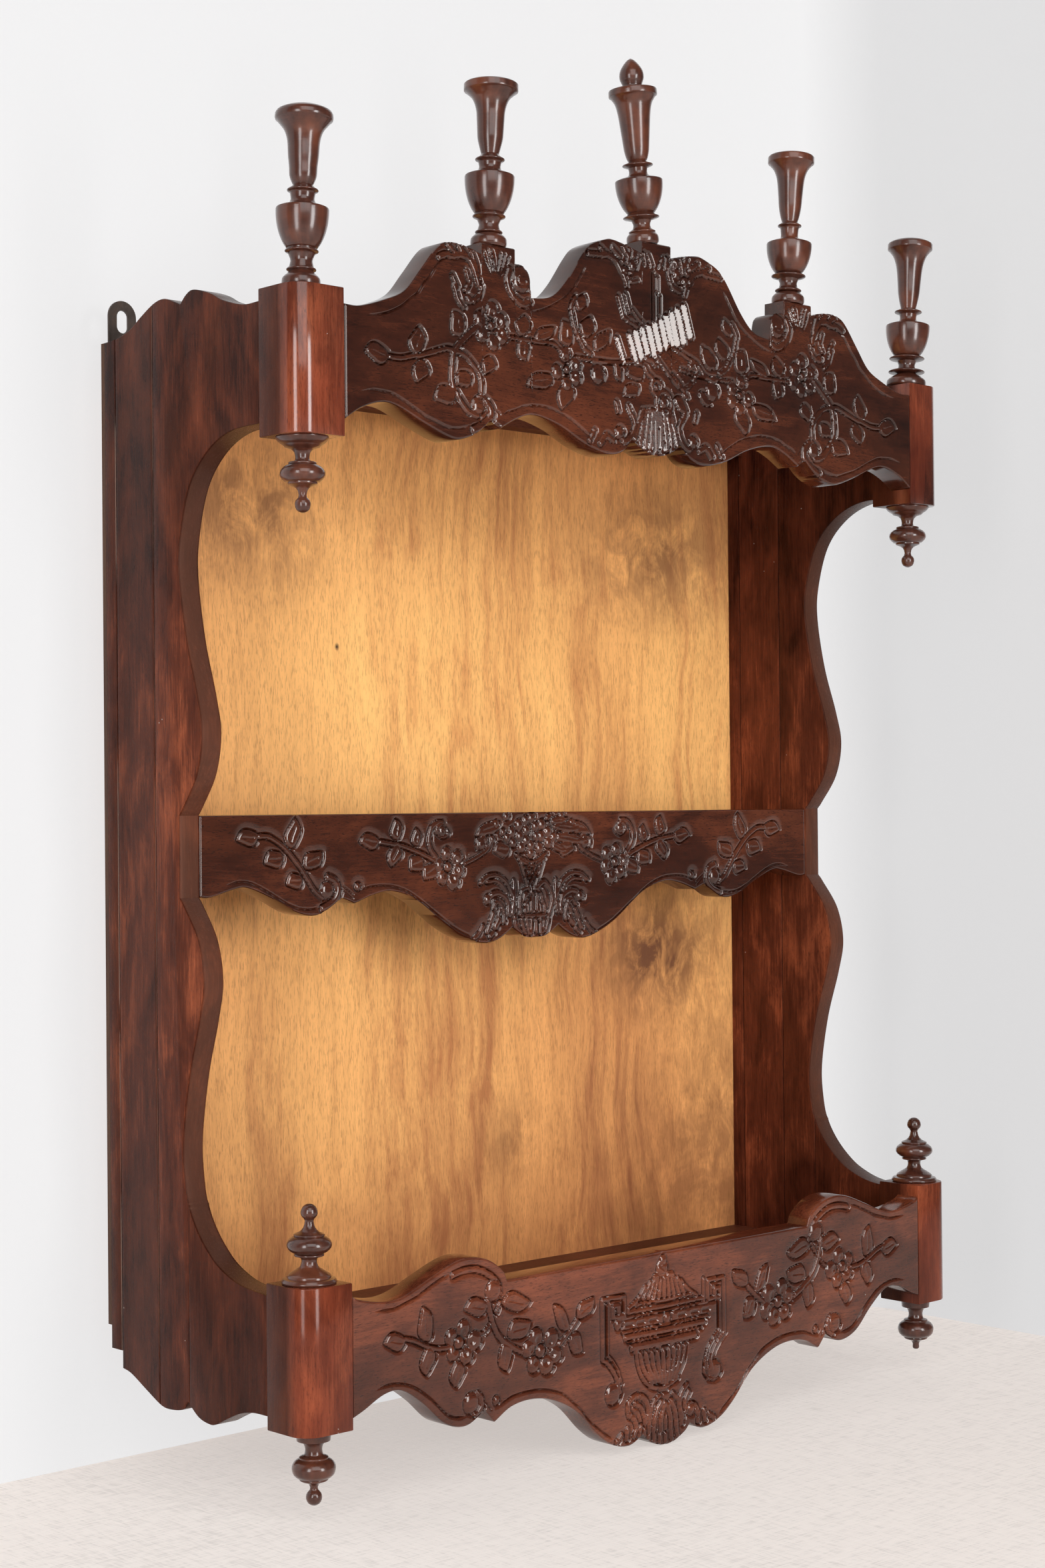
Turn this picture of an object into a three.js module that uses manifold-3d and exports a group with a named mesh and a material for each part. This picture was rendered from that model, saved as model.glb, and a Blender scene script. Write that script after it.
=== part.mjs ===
// A hanging plate rack in carved and turned walnut: two shaped sides on square posts, a crest rail with
// finials, a middle rail and a bottom rail that act as lips in front of two shelves, and a thin back panel.
//
// Millimetres, +Z up. X runs across the rack. Y = 0 is the wall, and the rack stands out towards -Y.
// The origin is on the rear face of the back panel, half-way between the ends of the posts.

import * as THREE from "three";
import { mergeVertices } from "three/addons/utils/BufferGeometryUtils.js";
import Module from "manifold-3d";

const wasm = await Module();
wasm.setup();

// Overall sizes
const WIDTH = 780;
const DEPTH = 265;
const POST_SPAN = 874; // from the foot of the lower posts to the head of the upper posts

// Stock
const POST = 47; // square section
const POST_ROUND = 17.5; // radius of a post's outer front corner
const UPPER_POST = 114.5;
const LOWER_POST = 112.5;
const SIDE = 20;
const SIDE_INSET = 1; // the sides' outer faces lie this far inside the posts'
const RAIL = 24;
const SHELF = 16;
const PANEL = 5;

// Sides
const WAIST_SETBACK = 159; // from the posts' front faces back to the waist and the middle rail
const WAIST_HALF = 33; // half the height of the waist's straight edge
const WING_COVER = 11.5; // how far a wing reaches along the back of its post
const GLUE_STEP = 32; // from the waist back to the joint of front and rear board
const WING_STEP = 9; // from the waist forward to the joint of the lower wing
const STRIP = 15; // width of the rear strip
const STRIP_FOOT = 31; // height of the strip's lower end above the posts' feet
const FOOT_STEP = 6; // the rear board's foot stands this far in front of the strip's rear face

// Crest, plinths and shelves
const PLINTH = 36; // width of the two outer plinths
const PLINTH_RISE = 55; // their tops, above the posts' heads
const PLINTH_PLACE = 183; // their middles, from the middle of the rack
const CENTRE_PLINTH = 35;
const CENTRE_RISE = 83;
const VOLUTE = 12; // radius of the scroll beside an outer plinth
const BOTTOM_SHELF_RISE = 27; // underside of the bottom shelf above the posts' feet
const MIDDLE_SHELF_DROP = 59; // underside of the middle shelf below the top of the middle rail
const BOTTOM_LIP = 93.5; // top of the bottom rail's straight stretch above the posts' feet

// Back panel, top back rail and hanging plates
const PANEL_DROP = 12; // top of the panel below the posts' heads
const PANEL_NOTCH = 50; // the panel's lower corners stop at this height above the posts' feet
const BACK_RAIL_HEIGHT = 30;
const BACK_RAIL_THICK = 20;
const PLATE_WIDTH = 27;
const PLATE_THICK = 2;
const PLATE_TOP = 26; // top of a plate above the posts' heads
const PLATE_LENGTH = 64;
const PLATE_INSET = 21; // middle of a plate from the posts' outer faces
const SLOT_WIDTH = 11;
const SLOT_LENGTH = 19;
const SLOT_BELOW_TOP = 8;

// Joints and fixings
const GAP = 0.3; // clearance of every glued joint and seat
const TENON = 8; // thickness of the rails' tenons and the sides' tongues
const RAIL_TENON = 14; // length of a tenon in its post
const TONGUE = 12; // length of a side's tongue in its post
const SHOULDER = 12; // wood left above and below a tenon
const ROOT = 2; // how far a tongue or tenon runs into the board that it is part of
const HOUSING = 6; // depth of the housings in the sides
const PEG_RADIUS = 4; // round pegs of the turned pieces
const PEG = 14;
const SCREW = { head: 3.6, rim: 0.3, sink: 1.9, shank: 1.8, length: 20, apart: 15, rise: 12 };
const NAIL = { head: 2, rim: 0.3, sink: 0.8, shank: 0.9, length: 16 };

// Worked-out places
const HEAD = POST_SPAN / 2;
const FOOT = -HEAD;
const HALF = WIDTH / 2;
const POST_INNER = HALF - POST;
const SIDE_OUTER = HALF - SIDE_INSET;
const SIDE_INNER = SIDE_OUTER - SIDE;
const FRONT = -DEPTH;
const behind = (distance) => FRONT + distance;
const PANEL_FRONT = -PANEL;
const SIDE_DEPTH = DEPTH - PANEL;
const GLUE_LINE = WAIST_SETBACK + GLUE_STEP;
const WING_LINE = WAIST_SETBACK - WING_STEP;
const PLATE_PLACE = HALF - PLATE_INSET;

const TURNING_STEPS = 12;
const FIXING_STEPS = 6;

const walnut = { color: 0x4a2318, roughness: 0.35, metalness: 0 };
const turned = { color: 0x43261c, roughness: 0.3, metalness: 0 };
const pale = { color: 0xc08447, roughness: 0.6, metalness: 0 };
const inner = { color: 0x5a3522, roughness: 0.6, metalness: 0 };
const steel = { color: 0x4a4541, roughness: 0.5, metalness: 0.9 };

const rack = new THREE.Group();

function solidOf(geometry) {
  const bare = geometry.clone();
  bare.deleteAttribute("normal");
  bare.deleteAttribute("uv");
  const merged = mergeVertices(bare, 1e-4);
  return new wasm.Manifold(
    new wasm.Mesh({
      numProp: 3,
      vertProperties: new Float32Array(merged.attributes.position.array),
      triVerts: new Uint32Array(merged.index.array),
    }),
  );
}

function geometryOf(solid) {
  const mesh = solid.getMesh();
  const geometry = new THREE.BufferGeometry();
  geometry.setAttribute("position", new THREE.BufferAttribute(new Float32Array(mesh.vertProperties), 3));
  geometry.setIndex(new THREE.BufferAttribute(new Uint32Array(mesh.triVerts), 1));
  geometry.computeVertexNormals();
  return geometry;
}

// A geometry with others cut out of it.
function cut(geometry, cutters) {
  let solid = solidOf(geometry);
  for (const cutter of cutters) solid = solid.subtract(solidOf(cutter));
  return geometryOf(solid);
}

function common(a, b) {
  return geometryOf(solidOf(a).intersect(solidOf(b)));
}

function add(name, geometry, look) {
  const mesh = new THREE.Mesh(geometry, new THREE.MeshStandardMaterial(look));
  mesh.name = name;
  rack.add(mesh);
  return mesh;
}

// A box between two limits on each axis, in either order.
function box([x0, x1], [y0, y1], [z0, z1], grow = 0) {
  const size = [Math.abs(x1 - x0), Math.abs(y1 - y0), Math.abs(z1 - z0)].map((s) => s + 2 * grow);
  return new THREE.BoxGeometry(...size).translate((x0 + x1) / 2, (y0 + y1) / 2, (z0 + z1) / 2);
}

// An outline in X and Z made a board between two Y limits.
function uprightBoard(shape, front, rear, curveSegments = 2) {
  const geometry = new THREE.ExtrudeGeometry(shape, {
    depth: rear - front,
    bevelEnabled: false,
    curveSegments,
  });
  return geometry.rotateX(Math.PI / 2).translate(0, rear, 0);
}

// An outline in Y and Z made a board between two X limits.
function sideBoard(shape, x0, x1, curveSegments = 2) {
  const geometry = new THREE.ExtrudeGeometry(shape, {
    depth: Math.abs(x1 - x0),
    bevelEnabled: false,
    curveSegments,
  });
  const turn = new THREE.Matrix4().makeBasis(
    new THREE.Vector3(0, 1, 0),
    new THREE.Vector3(0, 0, 1),
    new THREE.Vector3(1, 0, 0),
  );
  return geometry.applyMatrix4(turn).translate(Math.min(x0, x1), 0, 0);
}

// Continues a shape along runs of points: each run is one smooth curve, and the runs meet in corners.
function follow(shape, runs) {
  for (const run of runs) {
    const points = run.map(([a, b]) => new THREE.Vector2(a, b));
    shape.lineTo(points[0].x, points[0].y);
    if (points.length > 2) shape.splineThru(points.slice(1));
    else shape.lineTo(points[1].x, points[1].y);
  }
}

const backwards = (runs) => runs.map((run) => run.slice().reverse()).reverse();
const mirrored = (runs) => backwards(runs).map((run) => run.map(([x, z]) => [-x, z]));

// Sides

// The scalloped front edge of a side, from the waist to a wing, as parts of the wing's reach in front of the
// waist and of the rise from the waist to the wing. The two wings differ in their last stretch.
const NARROWEST = 0.63; // part of the rise at which the edge runs back furthest
const FRONT_EDGE = [
  [0, 0],
  [0.055, 0.023],
  [0.22, 0.109],
  [0.285, 0.215],
  [0.228, 0.318],
  [0.102, 0.467],
  [0.022, NARROWEST],
  [0.036, 0.738],
];
const UPPER_WING_EDGE = [
  [0.152, 0.868],
  [0.366, 0.95],
  [0.643, 0.993],
  [1, 1],
];
const LOWER_WING_EDGE = [
  [0.088, 0.812],
  [0.2, 0.876],
  [0.36, 0.931],
  [0.51, 0.962],
  [0.7, 0.984],
  [1, 0.996],
];
// The top edge of a side, from the rear edge to the post: parts of the way from post to rear edge, and heights
// above the post's head. Its two runs meet in a notch.
const TOP_EDGE = [
  [
    [1, -12],
    [0.93, -11],
    [0.83, -6],
    [0.756, 2],
    [0.671, 10],
    [0.6, 12],
    [0.526, 7],
    [0.493, 4],
  ],
  [
    [0.493, 4],
    [0.451, 11],
    [0.404, 13],
    [0.305, 7],
    [0.225, -1],
    [0.1, -8.5],
    [0, -9],
  ],
];
// The bottom edge in the same way, with heights above the post's foot: the wing's foot and the rear corner.
const BOTTOM_FOOT = [
  [0, 10.5],
  [0.087, 10],
  [0.168, 6.5],
  [0.251, -0.8],
  [0.318, -7.4],
  [0.36, -8.6],
  [0.427, -5.6],
  [0.493, 4],
];
const BOTTOM_CORNER = [
  [0.972, STRIP_FOOT],
  [0.967, 21],
  [0.94, 17],
  [0.873, 14],
  [0.77, 4],
  [0.671, -5],
  [0.6, -6],
  [0.526, -3],
  [0.493, 4],
];

const frontEdge = (sign, wingEdge, wingEnd) =>
  [...FRONT_EDGE, ...wingEdge].map(([reach, rise]) => [
    behind(WAIST_SETBACK - reach * (WAIST_SETBACK - POST - GAP)),
    sign * (WAIST_HALF + rise * (wingEnd - WAIST_HALF)),
  ]);
const alongTop = (part) => behind(POST + GAP + part * (SIDE_DEPTH - POST - GAP));
const UPPER_WING_END = HEAD - UPPER_POST + WING_COVER;
const LOWER_WING_END = HEAD - LOWER_POST + WING_COVER;

function sideOutline() {
  const shape = new THREE.Shape();
  const top = TOP_EDGE.map((run) => run.map(([part, rise]) => [alongTop(part), HEAD + rise]));
  const corner = BOTTOM_CORNER.map(([part, rise]) => [alongTop(part), FOOT + rise]);
  corner[0][0] = behind(SIDE_DEPTH - FOOT_STEP);
  const foot = BOTTOM_FOOT.map(([part, rise]) => [alongTop(part), FOOT + rise]);
  shape.moveTo(behind(SIDE_DEPTH), FOOT + STRIP_FOOT);
  follow(shape, top);
  follow(shape, [frontEdge(1, UPPER_WING_EDGE, UPPER_WING_END).reverse()]);
  follow(shape, [frontEdge(-1, LOWER_WING_EDGE, LOWER_WING_END)]);
  follow(shape, [foot, corner.reverse()]);
  shape.closePath();
  return shape;
}

// Heights of the tenons and tongues in the upper and the lower posts.
const UPPER_TENON = [UPPER_WING_END + SHOULDER, HEAD - SHOULDER - PEG];
const LOWER_TENON = [FOOT + PEG + SHOULDER, -LOWER_WING_END - SHOULDER];

const tongueX = (side) => [side * (SIDE_OUTER - (SIDE - TENON) / 2), side * (SIDE_INNER + (SIDE - TENON) / 2)];
const tongue = (side, heights, grow) =>
  box(tongueX(side), [behind(POST - TONGUE), behind(POST + ROOT)], heights, grow);

const MIDDLE_RAIL_TOP = WAIST_HALF;
const MIDDLE_SHELF_Z = [MIDDLE_RAIL_TOP - MIDDLE_SHELF_DROP, MIDDLE_RAIL_TOP - MIDDLE_SHELF_DROP + SHELF];
const BOTTOM_SHELF_Z = [FOOT + BOTTOM_SHELF_RISE, FOOT + BOTTOM_SHELF_RISE + SHELF];
const PANEL_TOP = HEAD - PANEL_DROP;
const BACK_RAIL_Y = [PANEL_FRONT - GAP - BACK_RAIL_THICK, PANEL_FRONT - GAP];
const BACK_RAIL_Z = [PANEL_TOP - BACK_RAIL_HEIGHT, PANEL_TOP];
const MIDDLE_TENON_Y = [behind(WAIST_SETBACK + (RAIL - TENON) / 2), behind(WAIST_SETBACK + (RAIL + TENON) / 2)];
const MIDDLE_TENON_Z = [-WAIST_HALF + SHOULDER, WAIST_HALF - SHOULDER];

// The housings cut in a side, each a little larger than what it holds.
function housings(side) {
  const across = [side * (SIDE_INNER - HOUSING), side * (SIDE_INNER + HOUSING)];
  return [
    box(across, [behind(POST + SHOULDER), PANEL_FRONT - SHOULDER], BOTTOM_SHELF_Z, GAP),
    box(across, [behind(WAIST_SETBACK + RAIL), PANEL_FRONT - SHOULDER], MIDDLE_SHELF_Z, GAP),
    box(across, MIDDLE_TENON_Y, MIDDLE_TENON_Z, GAP),
    box(across, BACK_RAIL_Y, BACK_RAIL_Z, GAP),
  ];
}

function addSide(name, side) {
  const whole = sideBoard(sideOutline(), side * SIDE_INNER, side * SIDE_OUTER);
  const wide = [side * (SIDE_INNER - 1), side * (SIDE_OUTER + 1)];
  const tall = [FOOT - POST, HEAD + POST];
  const strip = behind(SIDE_DEPTH - STRIP);
  const lowWing = [FOOT - POST, -WAIST_HALF - NARROWEST * (LOWER_WING_END - WAIST_HALF)];
  const fixings = fixingHoles(side);
  const front = cut(common(whole, box(wide, [FRONT, behind(GLUE_LINE)], tall)), [
    box(wide, [FRONT, behind(WING_LINE) + GAP], lowWing),
    ...housings(side),
  ]);
  const upperTongue = tongue(side, UPPER_TENON, 0);
  add("side_front_board_" + name, geometryOf(solidOf(front).add(solidOf(upperTongue))), walnut);

  const wing = cut(common(whole, box(wide, [FRONT, behind(WING_LINE)], lowWing)), housings(side));
  const lowerTongue = tongue(side, LOWER_TENON, 0);
  add("side_lower_wing_" + name, geometryOf(solidOf(wing).add(solidOf(lowerTongue))), walnut);

  const stripSpace = box(wide, [strip, 0], [FOOT + STRIP_FOOT, HEAD + POST]);
  const rear = common(whole, box(wide, [behind(GLUE_LINE) + GAP, behind(SIDE_DEPTH) + 1], tall));
  const stripRoom = box(wide, [strip - GAP, 0], [FOOT + STRIP_FOOT - GAP, HEAD + POST]);
  add("side_rear_board_" + name, cut(rear, [stripRoom, ...housings(side), ...fixings]), walnut);
  add("side_rear_strip_" + name, cut(common(whole, stripSpace), [...housings(side), ...fixings]), walnut);
}

// Posts

function postOutline(side) {
  const shape = new THREE.Shape();
  shape.moveTo(side * POST_INNER, behind(POST));
  shape.lineTo(side * POST_INNER, FRONT);
  const steps = 6;
  for (let i = 0; i <= steps; i++) {
    const angle = (i / steps) * (Math.PI / 2);
    const x = HALF - POST_ROUND + POST_ROUND * Math.sin(angle);
    const y = FRONT + POST_ROUND - POST_ROUND * Math.cos(angle);
    shape.lineTo(side * x, y);
  }
  shape.lineTo(side * HALF, behind(POST));
  shape.closePath();
  return shape;
}

const RAIL_TENON_Y = [behind((RAIL - TENON) / 2), behind((RAIL + TENON) / 2)];
const railTenonX = (side) => [side * (POST_INNER - ROOT), side * (POST_INNER + RAIL_TENON)];

// The room for a round peg, with its mouth at the origin and its length along +Z.
function pegBore() {
  const bore = new THREE.CylinderGeometry(PEG_RADIUS + GAP, PEG_RADIUS + GAP, 2 * (PEG + 2 * GAP), 12);
  return bore.rotateX(Math.PI / 2);
}

function addPost(name, side, z0, height, tenon) {
  const x = side * (HALF - POST / 2);
  const y = behind(POST / 2);
  const body = new THREE.ExtrudeGeometry(postOutline(side), { depth: height, bevelEnabled: false });
  body.translate(0, 0, z0);
  const cutters = [
    pegBore().translate(x, y, z0),
    pegBore().translate(x, y, z0 + height),
    tongue(side, tenon, GAP),
    box(railTenonX(side), RAIL_TENON_Y, tenon, GAP),
  ];
  add(name, cut(body, cutters), walnut);
}

// Rails

// Outlines are given for the right half, from the end of the rail to its middle. A place across is a part of
// the half span, or of the stretch between two plinths, and a height is in millimetres.

const CREST_OUTER_TOP = [
  [0, -12],
  [0.113, -11.5],
  [0.289, -3.5],
  [0.43, 6],
  [0.542, 24],
  [0.669, 45],
  [0.761, 50.5],
  [0.88, 50],
  [1, 46],
];
const CREST_INNER_TOP = [
  [0.115, 17],
  [0.278, 21.5],
  [0.393, 36],
  [0.515, 60],
  [0.59, 71],
  [0.712, 78],
  [0.78, 79],
  [0.9, 76],
  [1, 72.5],
];
const CREST_BOTTOM = [
  [
    [1, -101],
    [0.953, -91],
    [0.895, -84.5],
    [0.845, -86],
    [0.764, -97],
    [0.69, -105.5],
    [0.65, -105.5],
    [0.6, -98.5],
    [0.56, -87.5],
  ],
  [
    [0.56, -87.5],
    [0.531, -93.5],
  ],
  [
    [0.531, -93.5],
    [0.475, -83.5],
    [0.42, -78.7],
    [0.335, -85],
    [0.254, -97],
    [0.178, -103],
    [0.125, -100],
    [0.085, -88],
  ],
  [
    [0.085, -88],
    [0.06, -94],
    [0.025, -98.5],
    [0, -99.5],
  ],
];
const MIDDLE_BOTTOM = [
  [
    [1, -66],
    [0.97, -66.5],
    [0.905, -60.5],
    [0.867, -60],
    [0.797, -70],
    [0.729, -82],
    [0.67, -84],
    [0.602, -71],
  ],
  [
    [0.602, -71],
    [0.566, -76],
  ],
  [
    [0.566, -76],
    [0.507, -69],
    [0.45, -67],
    [0.374, -76],
    [0.279, -100],
    [0.21, -112],
    [0.16, -116],
    [0.115, -112],
    [0.076, -103],
  ],
  [
    [0.076, -103],
    [0.06, -107],
    [0.033, -112],
    [0, -113],
  ],
];
const BOTTOM_TOP = [
  [1, 102],
  [0.974, 98],
  [0.904, 93.5],
  [0.848, 95.5],
  [0.776, 105],
  [0.7, 114.5],
  [0.647, 116.5],
  [0.59, 112],
  [0.548, 102],
  [0.536, BOTTOM_LIP],
];
const BOTTOM_BOTTOM = [
  [
    [1, 9],
    [0.97, 13],
    [0.91, 22],
    [0.857, 22],
    [0.793, 8],
    [0.729, -11],
    [0.665, -16.5],
    [0.606, -7.5],
  ],
  [
    [0.606, -7.5],
    [0.577, -18.5],
  ],
  [
    [0.577, -18.5],
    [0.525, -9.5],
    [0.46, -7],
    [0.39, -11.5],
    [0.312, -25],
    [0.242, -48],
    [0.187, -60.5],
    [0.131, -64.5],
    [0.082, -58],
  ],
  [
    [0.082, -58],
    [0.062, -64.5],
    [0.03, -69.5],
    [0, -71],
  ],
];

const stretch = (run, from, to, base) => run.map(([part, z]) => [from + part * (to - from), base + z]);
const stretchAll = (runs, half, base) => runs.map((run) => stretch(run, 0, half, base));

function crestOutline() {
  const shape = new THREE.Shape();
  const end = POST_INNER - GAP;
  const outerEdge = PLINTH_PLACE + PLINTH / 2;
  const innerEdge = PLINTH_PLACE - PLINTH / 2;
  const top = HEAD + PLINTH_RISE;
  const centreTop = HEAD + CENTRE_RISE;
  const inner = stretch(CREST_INNER_TOP, innerEdge, CENTRE_PLINTH / 2, HEAD);
  const volute = [];
  const steps = 8;
  for (let i = 0; i <= steps; i++) {
    const angle = THREE.MathUtils.degToRad(80 + i * 22);
    const z = top - 2 * VOLUTE + VOLUTE * Math.sin(angle);
    volute.push([innerEdge - VOLUTE / 2 + VOLUTE * Math.cos(angle), z]);
  }
  const right = [
    stretch(CREST_OUTER_TOP, end, outerEdge, HEAD),
    [
      [outerEdge, top],
      [innerEdge, top],
    ],
    [[innerEdge, volute[0][1]], ...volute],
    inner,
    [
      [CENTRE_PLINTH / 2, centreTop],
      [0, centreTop],
    ],
  ];
  const bottom = backwards(stretchAll(CREST_BOTTOM, end, HEAD));
  shape.moveTo(end, HEAD - PANEL_DROP);
  follow(shape, right);
  follow(shape, mirrored(right));
  follow(shape, mirrored(bottom));
  follow(shape, bottom);
  shape.closePath();
  return shape;
}

function middleOutline() {
  const shape = new THREE.Shape();
  const end = SIDE_INNER - GAP;
  const bottom = backwards(stretchAll(MIDDLE_BOTTOM, end, MIDDLE_RAIL_TOP));
  shape.moveTo(end, MIDDLE_RAIL_TOP);
  shape.lineTo(-end, MIDDLE_RAIL_TOP);
  follow(shape, mirrored(bottom));
  follow(shape, bottom);
  shape.closePath();
  return shape;
}

function bottomOutline() {
  const shape = new THREE.Shape();
  const end = POST_INNER - GAP;
  const top = [stretch(BOTTOM_TOP, 0, end, FOOT)];
  const bottom = backwards(stretchAll(BOTTOM_BOTTOM, end, FOOT));
  shape.moveTo(top[0][0][0], top[0][0][1]);
  follow(shape, top);
  follow(shape, mirrored(top));
  follow(shape, mirrored(bottom));
  follow(shape, bottom);
  shape.closePath();
  return shape;
}

// A rail with a tenon at each end, from inside the rail to the tenon's tip.
function tenoned(board, reach, tip, across, heights) {
  let solid = solidOf(board);
  for (const side of [-1, 1]) solid = solid.add(solidOf(box([side * reach, side * tip], across, heights)));
  return geometryOf(solid);
}

function addRails() {
  const crest = uprightBoard(crestOutline(), FRONT, behind(RAIL));
  const tip = POST_INNER + RAIL_TENON;
  const reach = POST_INNER - SHOULDER;
  const bores = tallFinials
    .filter((finial) => finial.onCrest)
    .map((finial) => pegBore().translate(finial.x, behind(RAIL / 2), finial.seat));
  add("crest_rail", cut(tenoned(crest, reach, tip, RAIL_TENON_Y, UPPER_TENON), bores), walnut);

  const middle = uprightBoard(middleOutline(), behind(WAIST_SETBACK), behind(WAIST_SETBACK + RAIL));
  const middleTip = SIDE_INNER + HOUSING - GAP;
  add(
    "middle_rail",
    tenoned(middle, SIDE_INNER - SHOULDER, middleTip, MIDDLE_TENON_Y, MIDDLE_TENON_Z),
    walnut,
  );

  const bottom = uprightBoard(bottomOutline(), FRONT, behind(RAIL));
  add("bottom_rail", tenoned(bottom, reach, tip, RAIL_TENON_Y, LOWER_TENON), walnut);
}

// Shelves and back

// A shelf's outline in X and Y: notched round the posts where it reaches them, with a stub at each end that
// lies in the side's housing.
function shelfOutline(front, stubFront, notched) {
  const shape = new THREE.Shape();
  const rear = PANEL_FRONT - GAP;
  const stubRear = PANEL_FRONT - SHOULDER;
  const stub = SIDE_INNER + HOUSING;
  const inner = SIDE_INNER - GAP;
  const corner = POST_INNER - GAP;
  const half = [];
  if (notched) half.push([corner, front], [corner, behind(POST) + GAP], [inner, behind(POST) + GAP]);
  else half.push([inner, front]);
  half.push([inner, stubFront], [stub, stubFront], [stub, stubRear], [inner, stubRear], [inner, rear]);
  const points = [...half, ...half.map(([x, y]) => [-x, y]).reverse()];
  shape.setFromPoints(points.map(([x, y]) => new THREE.Vector2(x, y)));
  return shape;
}

function addShelf(name, outline, [z0, z1], holes) {
  const board = new THREE.ExtrudeGeometry(outline, { depth: z1 - z0, bevelEnabled: false });
  add(name, cut(board.translate(0, 0, z0), holes), inner);
}

// A fixing as a turned solid: its head's face at the origin, its length along -Y. It can be grown to make
// the hole that it sits in.
function fixing(kind, grow = 0) {
  const points = [
    [0, grow],
    [kind.head + grow, grow],
    [kind.head + grow, -kind.rim - grow / 2],
    [kind.shank + grow, -kind.sink - grow / 2],
    [kind.shank + grow, -kind.length],
    [0, -kind.length - kind.shank - grow],
  ];
  const profile = points.reverse().map(([r, y]) => new THREE.Vector2(r, y));
  return new THREE.LatheGeometry(profile, FIXING_STEPS);
}

const PLATE_BOTTOM = HEAD + PLATE_TOP - PLATE_LENGTH;
const screwPlaces = (side) =>
  [-1, 1].map((across) => [side * PLATE_PLACE + (across * SCREW.apart) / 2, PLATE_BOTTOM + SCREW.rise]);

// The nails of the back panel, by row, at equal spaces.
function nailPlaces() {
  const sideX = (SIDE_OUTER + SIDE_INNER) / 2;
  const top = PANEL_TOP - BACK_RAIL_HEIGHT / 2;
  const middle = (MIDDLE_SHELF_Z[0] + MIDDLE_SHELF_Z[1]) / 2;
  const bottom = (BOTTOM_SHELF_Z[0] + BOTTOM_SHELF_Z[1]) / 2;
  const places = [];
  const perSide = 4;
  const low = FOOT + PANEL_NOTCH + 2 * POST;
  const high = PLATE_BOTTOM - 2 * POST;
  for (let i = 0; i < perSide; i++) {
    const z = low + (i / (perSide - 1)) * (high - low);
    places.push(["left_" + (i + 1), -sideX, z], ["right_" + (i + 1), sideX, z]);
  }
  for (const [row, z] of [["top", top], ["middle", middle], ["bottom", bottom]])
    for (const [i, part] of [-0.65, 0.08, 0.65].entries())
      places.push([row + "_" + (i + 1), part * SIDE_INNER, z]);
  return places;
}

// The holes of every nail and screw on one side of the rack, or on both where no side is given.
function fixingHoles(side) {
  const near = (x) => side === undefined || Math.sign(x) === side;
  const nails = nailPlaces()
    .filter(([, x]) => near(x) || x === 0)
    .map(([, x, z]) => fixing(NAIL, GAP).translate(x, 0, z));
  const screws = [-1, 1]
    .flatMap((s) => screwPlaces(s))
    .filter(([x]) => near(x))
    .map(([x, z]) => fixing(SCREW, GAP).translate(x, 0, z));
  return [...nails, ...screws];
}

function addBack() {
  const holes = fixingHoles();
  const bottom = BOTTOM_SHELF_Z[0];
  const board = box([-SIDE_OUTER, SIDE_OUTER], [PANEL_FRONT, 0], [bottom, PANEL_TOP]);
  const recesses = [];
  for (const side of [-1, 1]) {
    const x = side * PLATE_PLACE;
    const half = PLATE_WIDTH / 2 + GAP;
    recesses.push(box([x - half, x + half], [-PLATE_THICK - GAP, 1], [PLATE_BOTTOM - GAP, PANEL_TOP + 1]));
    const notchX = [side * (SIDE_INNER + GAP), side * (SIDE_OUTER + 1)];
    recesses.push(box(notchX, [PANEL_FRONT - 1, 1], [bottom - 1, FOOT + PANEL_NOTCH]));
  }
  add("back_panel", cut(board, [...recesses, ...holes]), pale);

  const railEnd = SIDE_INNER + HOUSING;
  const rail = box([-railEnd, railEnd], BACK_RAIL_Y, BACK_RAIL_Z);
  add("top_back_rail", cut(rail, holes), inner);
  for (const [name, x, z] of nailPlaces()) add("nail_" + name, fixing(NAIL).translate(x, 0, z), steel);
}

function addHangingPlate(name, side) {
  const shape = new THREE.Shape();
  const x = side * PLATE_PLACE;
  const radius = PLATE_WIDTH / 2;
  const top = HEAD + PLATE_TOP - radius;
  shape.moveTo(x - radius, PLATE_BOTTOM);
  shape.lineTo(x + radius, PLATE_BOTTOM);
  shape.absarc(x, top, radius, 0, Math.PI, false);
  shape.closePath();
  const slotRadius = SLOT_WIDTH / 2;
  const slotTop = HEAD + PLATE_TOP - SLOT_BELOW_TOP - slotRadius;
  const slotBottom = slotTop - SLOT_LENGTH + SLOT_WIDTH;
  const slot = new THREE.Path();
  slot.absarc(x, slotTop, slotRadius, 0, Math.PI, false);
  slot.absarc(x, slotBottom, slotRadius, Math.PI, 2 * Math.PI, false);
  slot.closePath();
  shape.holes.push(slot);
  const plate = uprightBoard(shape, -PLATE_THICK, 0, 12);
  const places = screwPlaces(side);
  const holes = places.map(([hx, hz]) => fixing(SCREW, GAP).translate(hx, 0, hz));
  add("hanging_plate_" + name, cut(plate, holes), steel);
  places.forEach(([sx, sz], i) => {
    add("plate_screw_" + name + "_" + (i + 1), fixing(SCREW).translate(sx, 0, sz), steel);
  });
}

// Turned pieces

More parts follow.
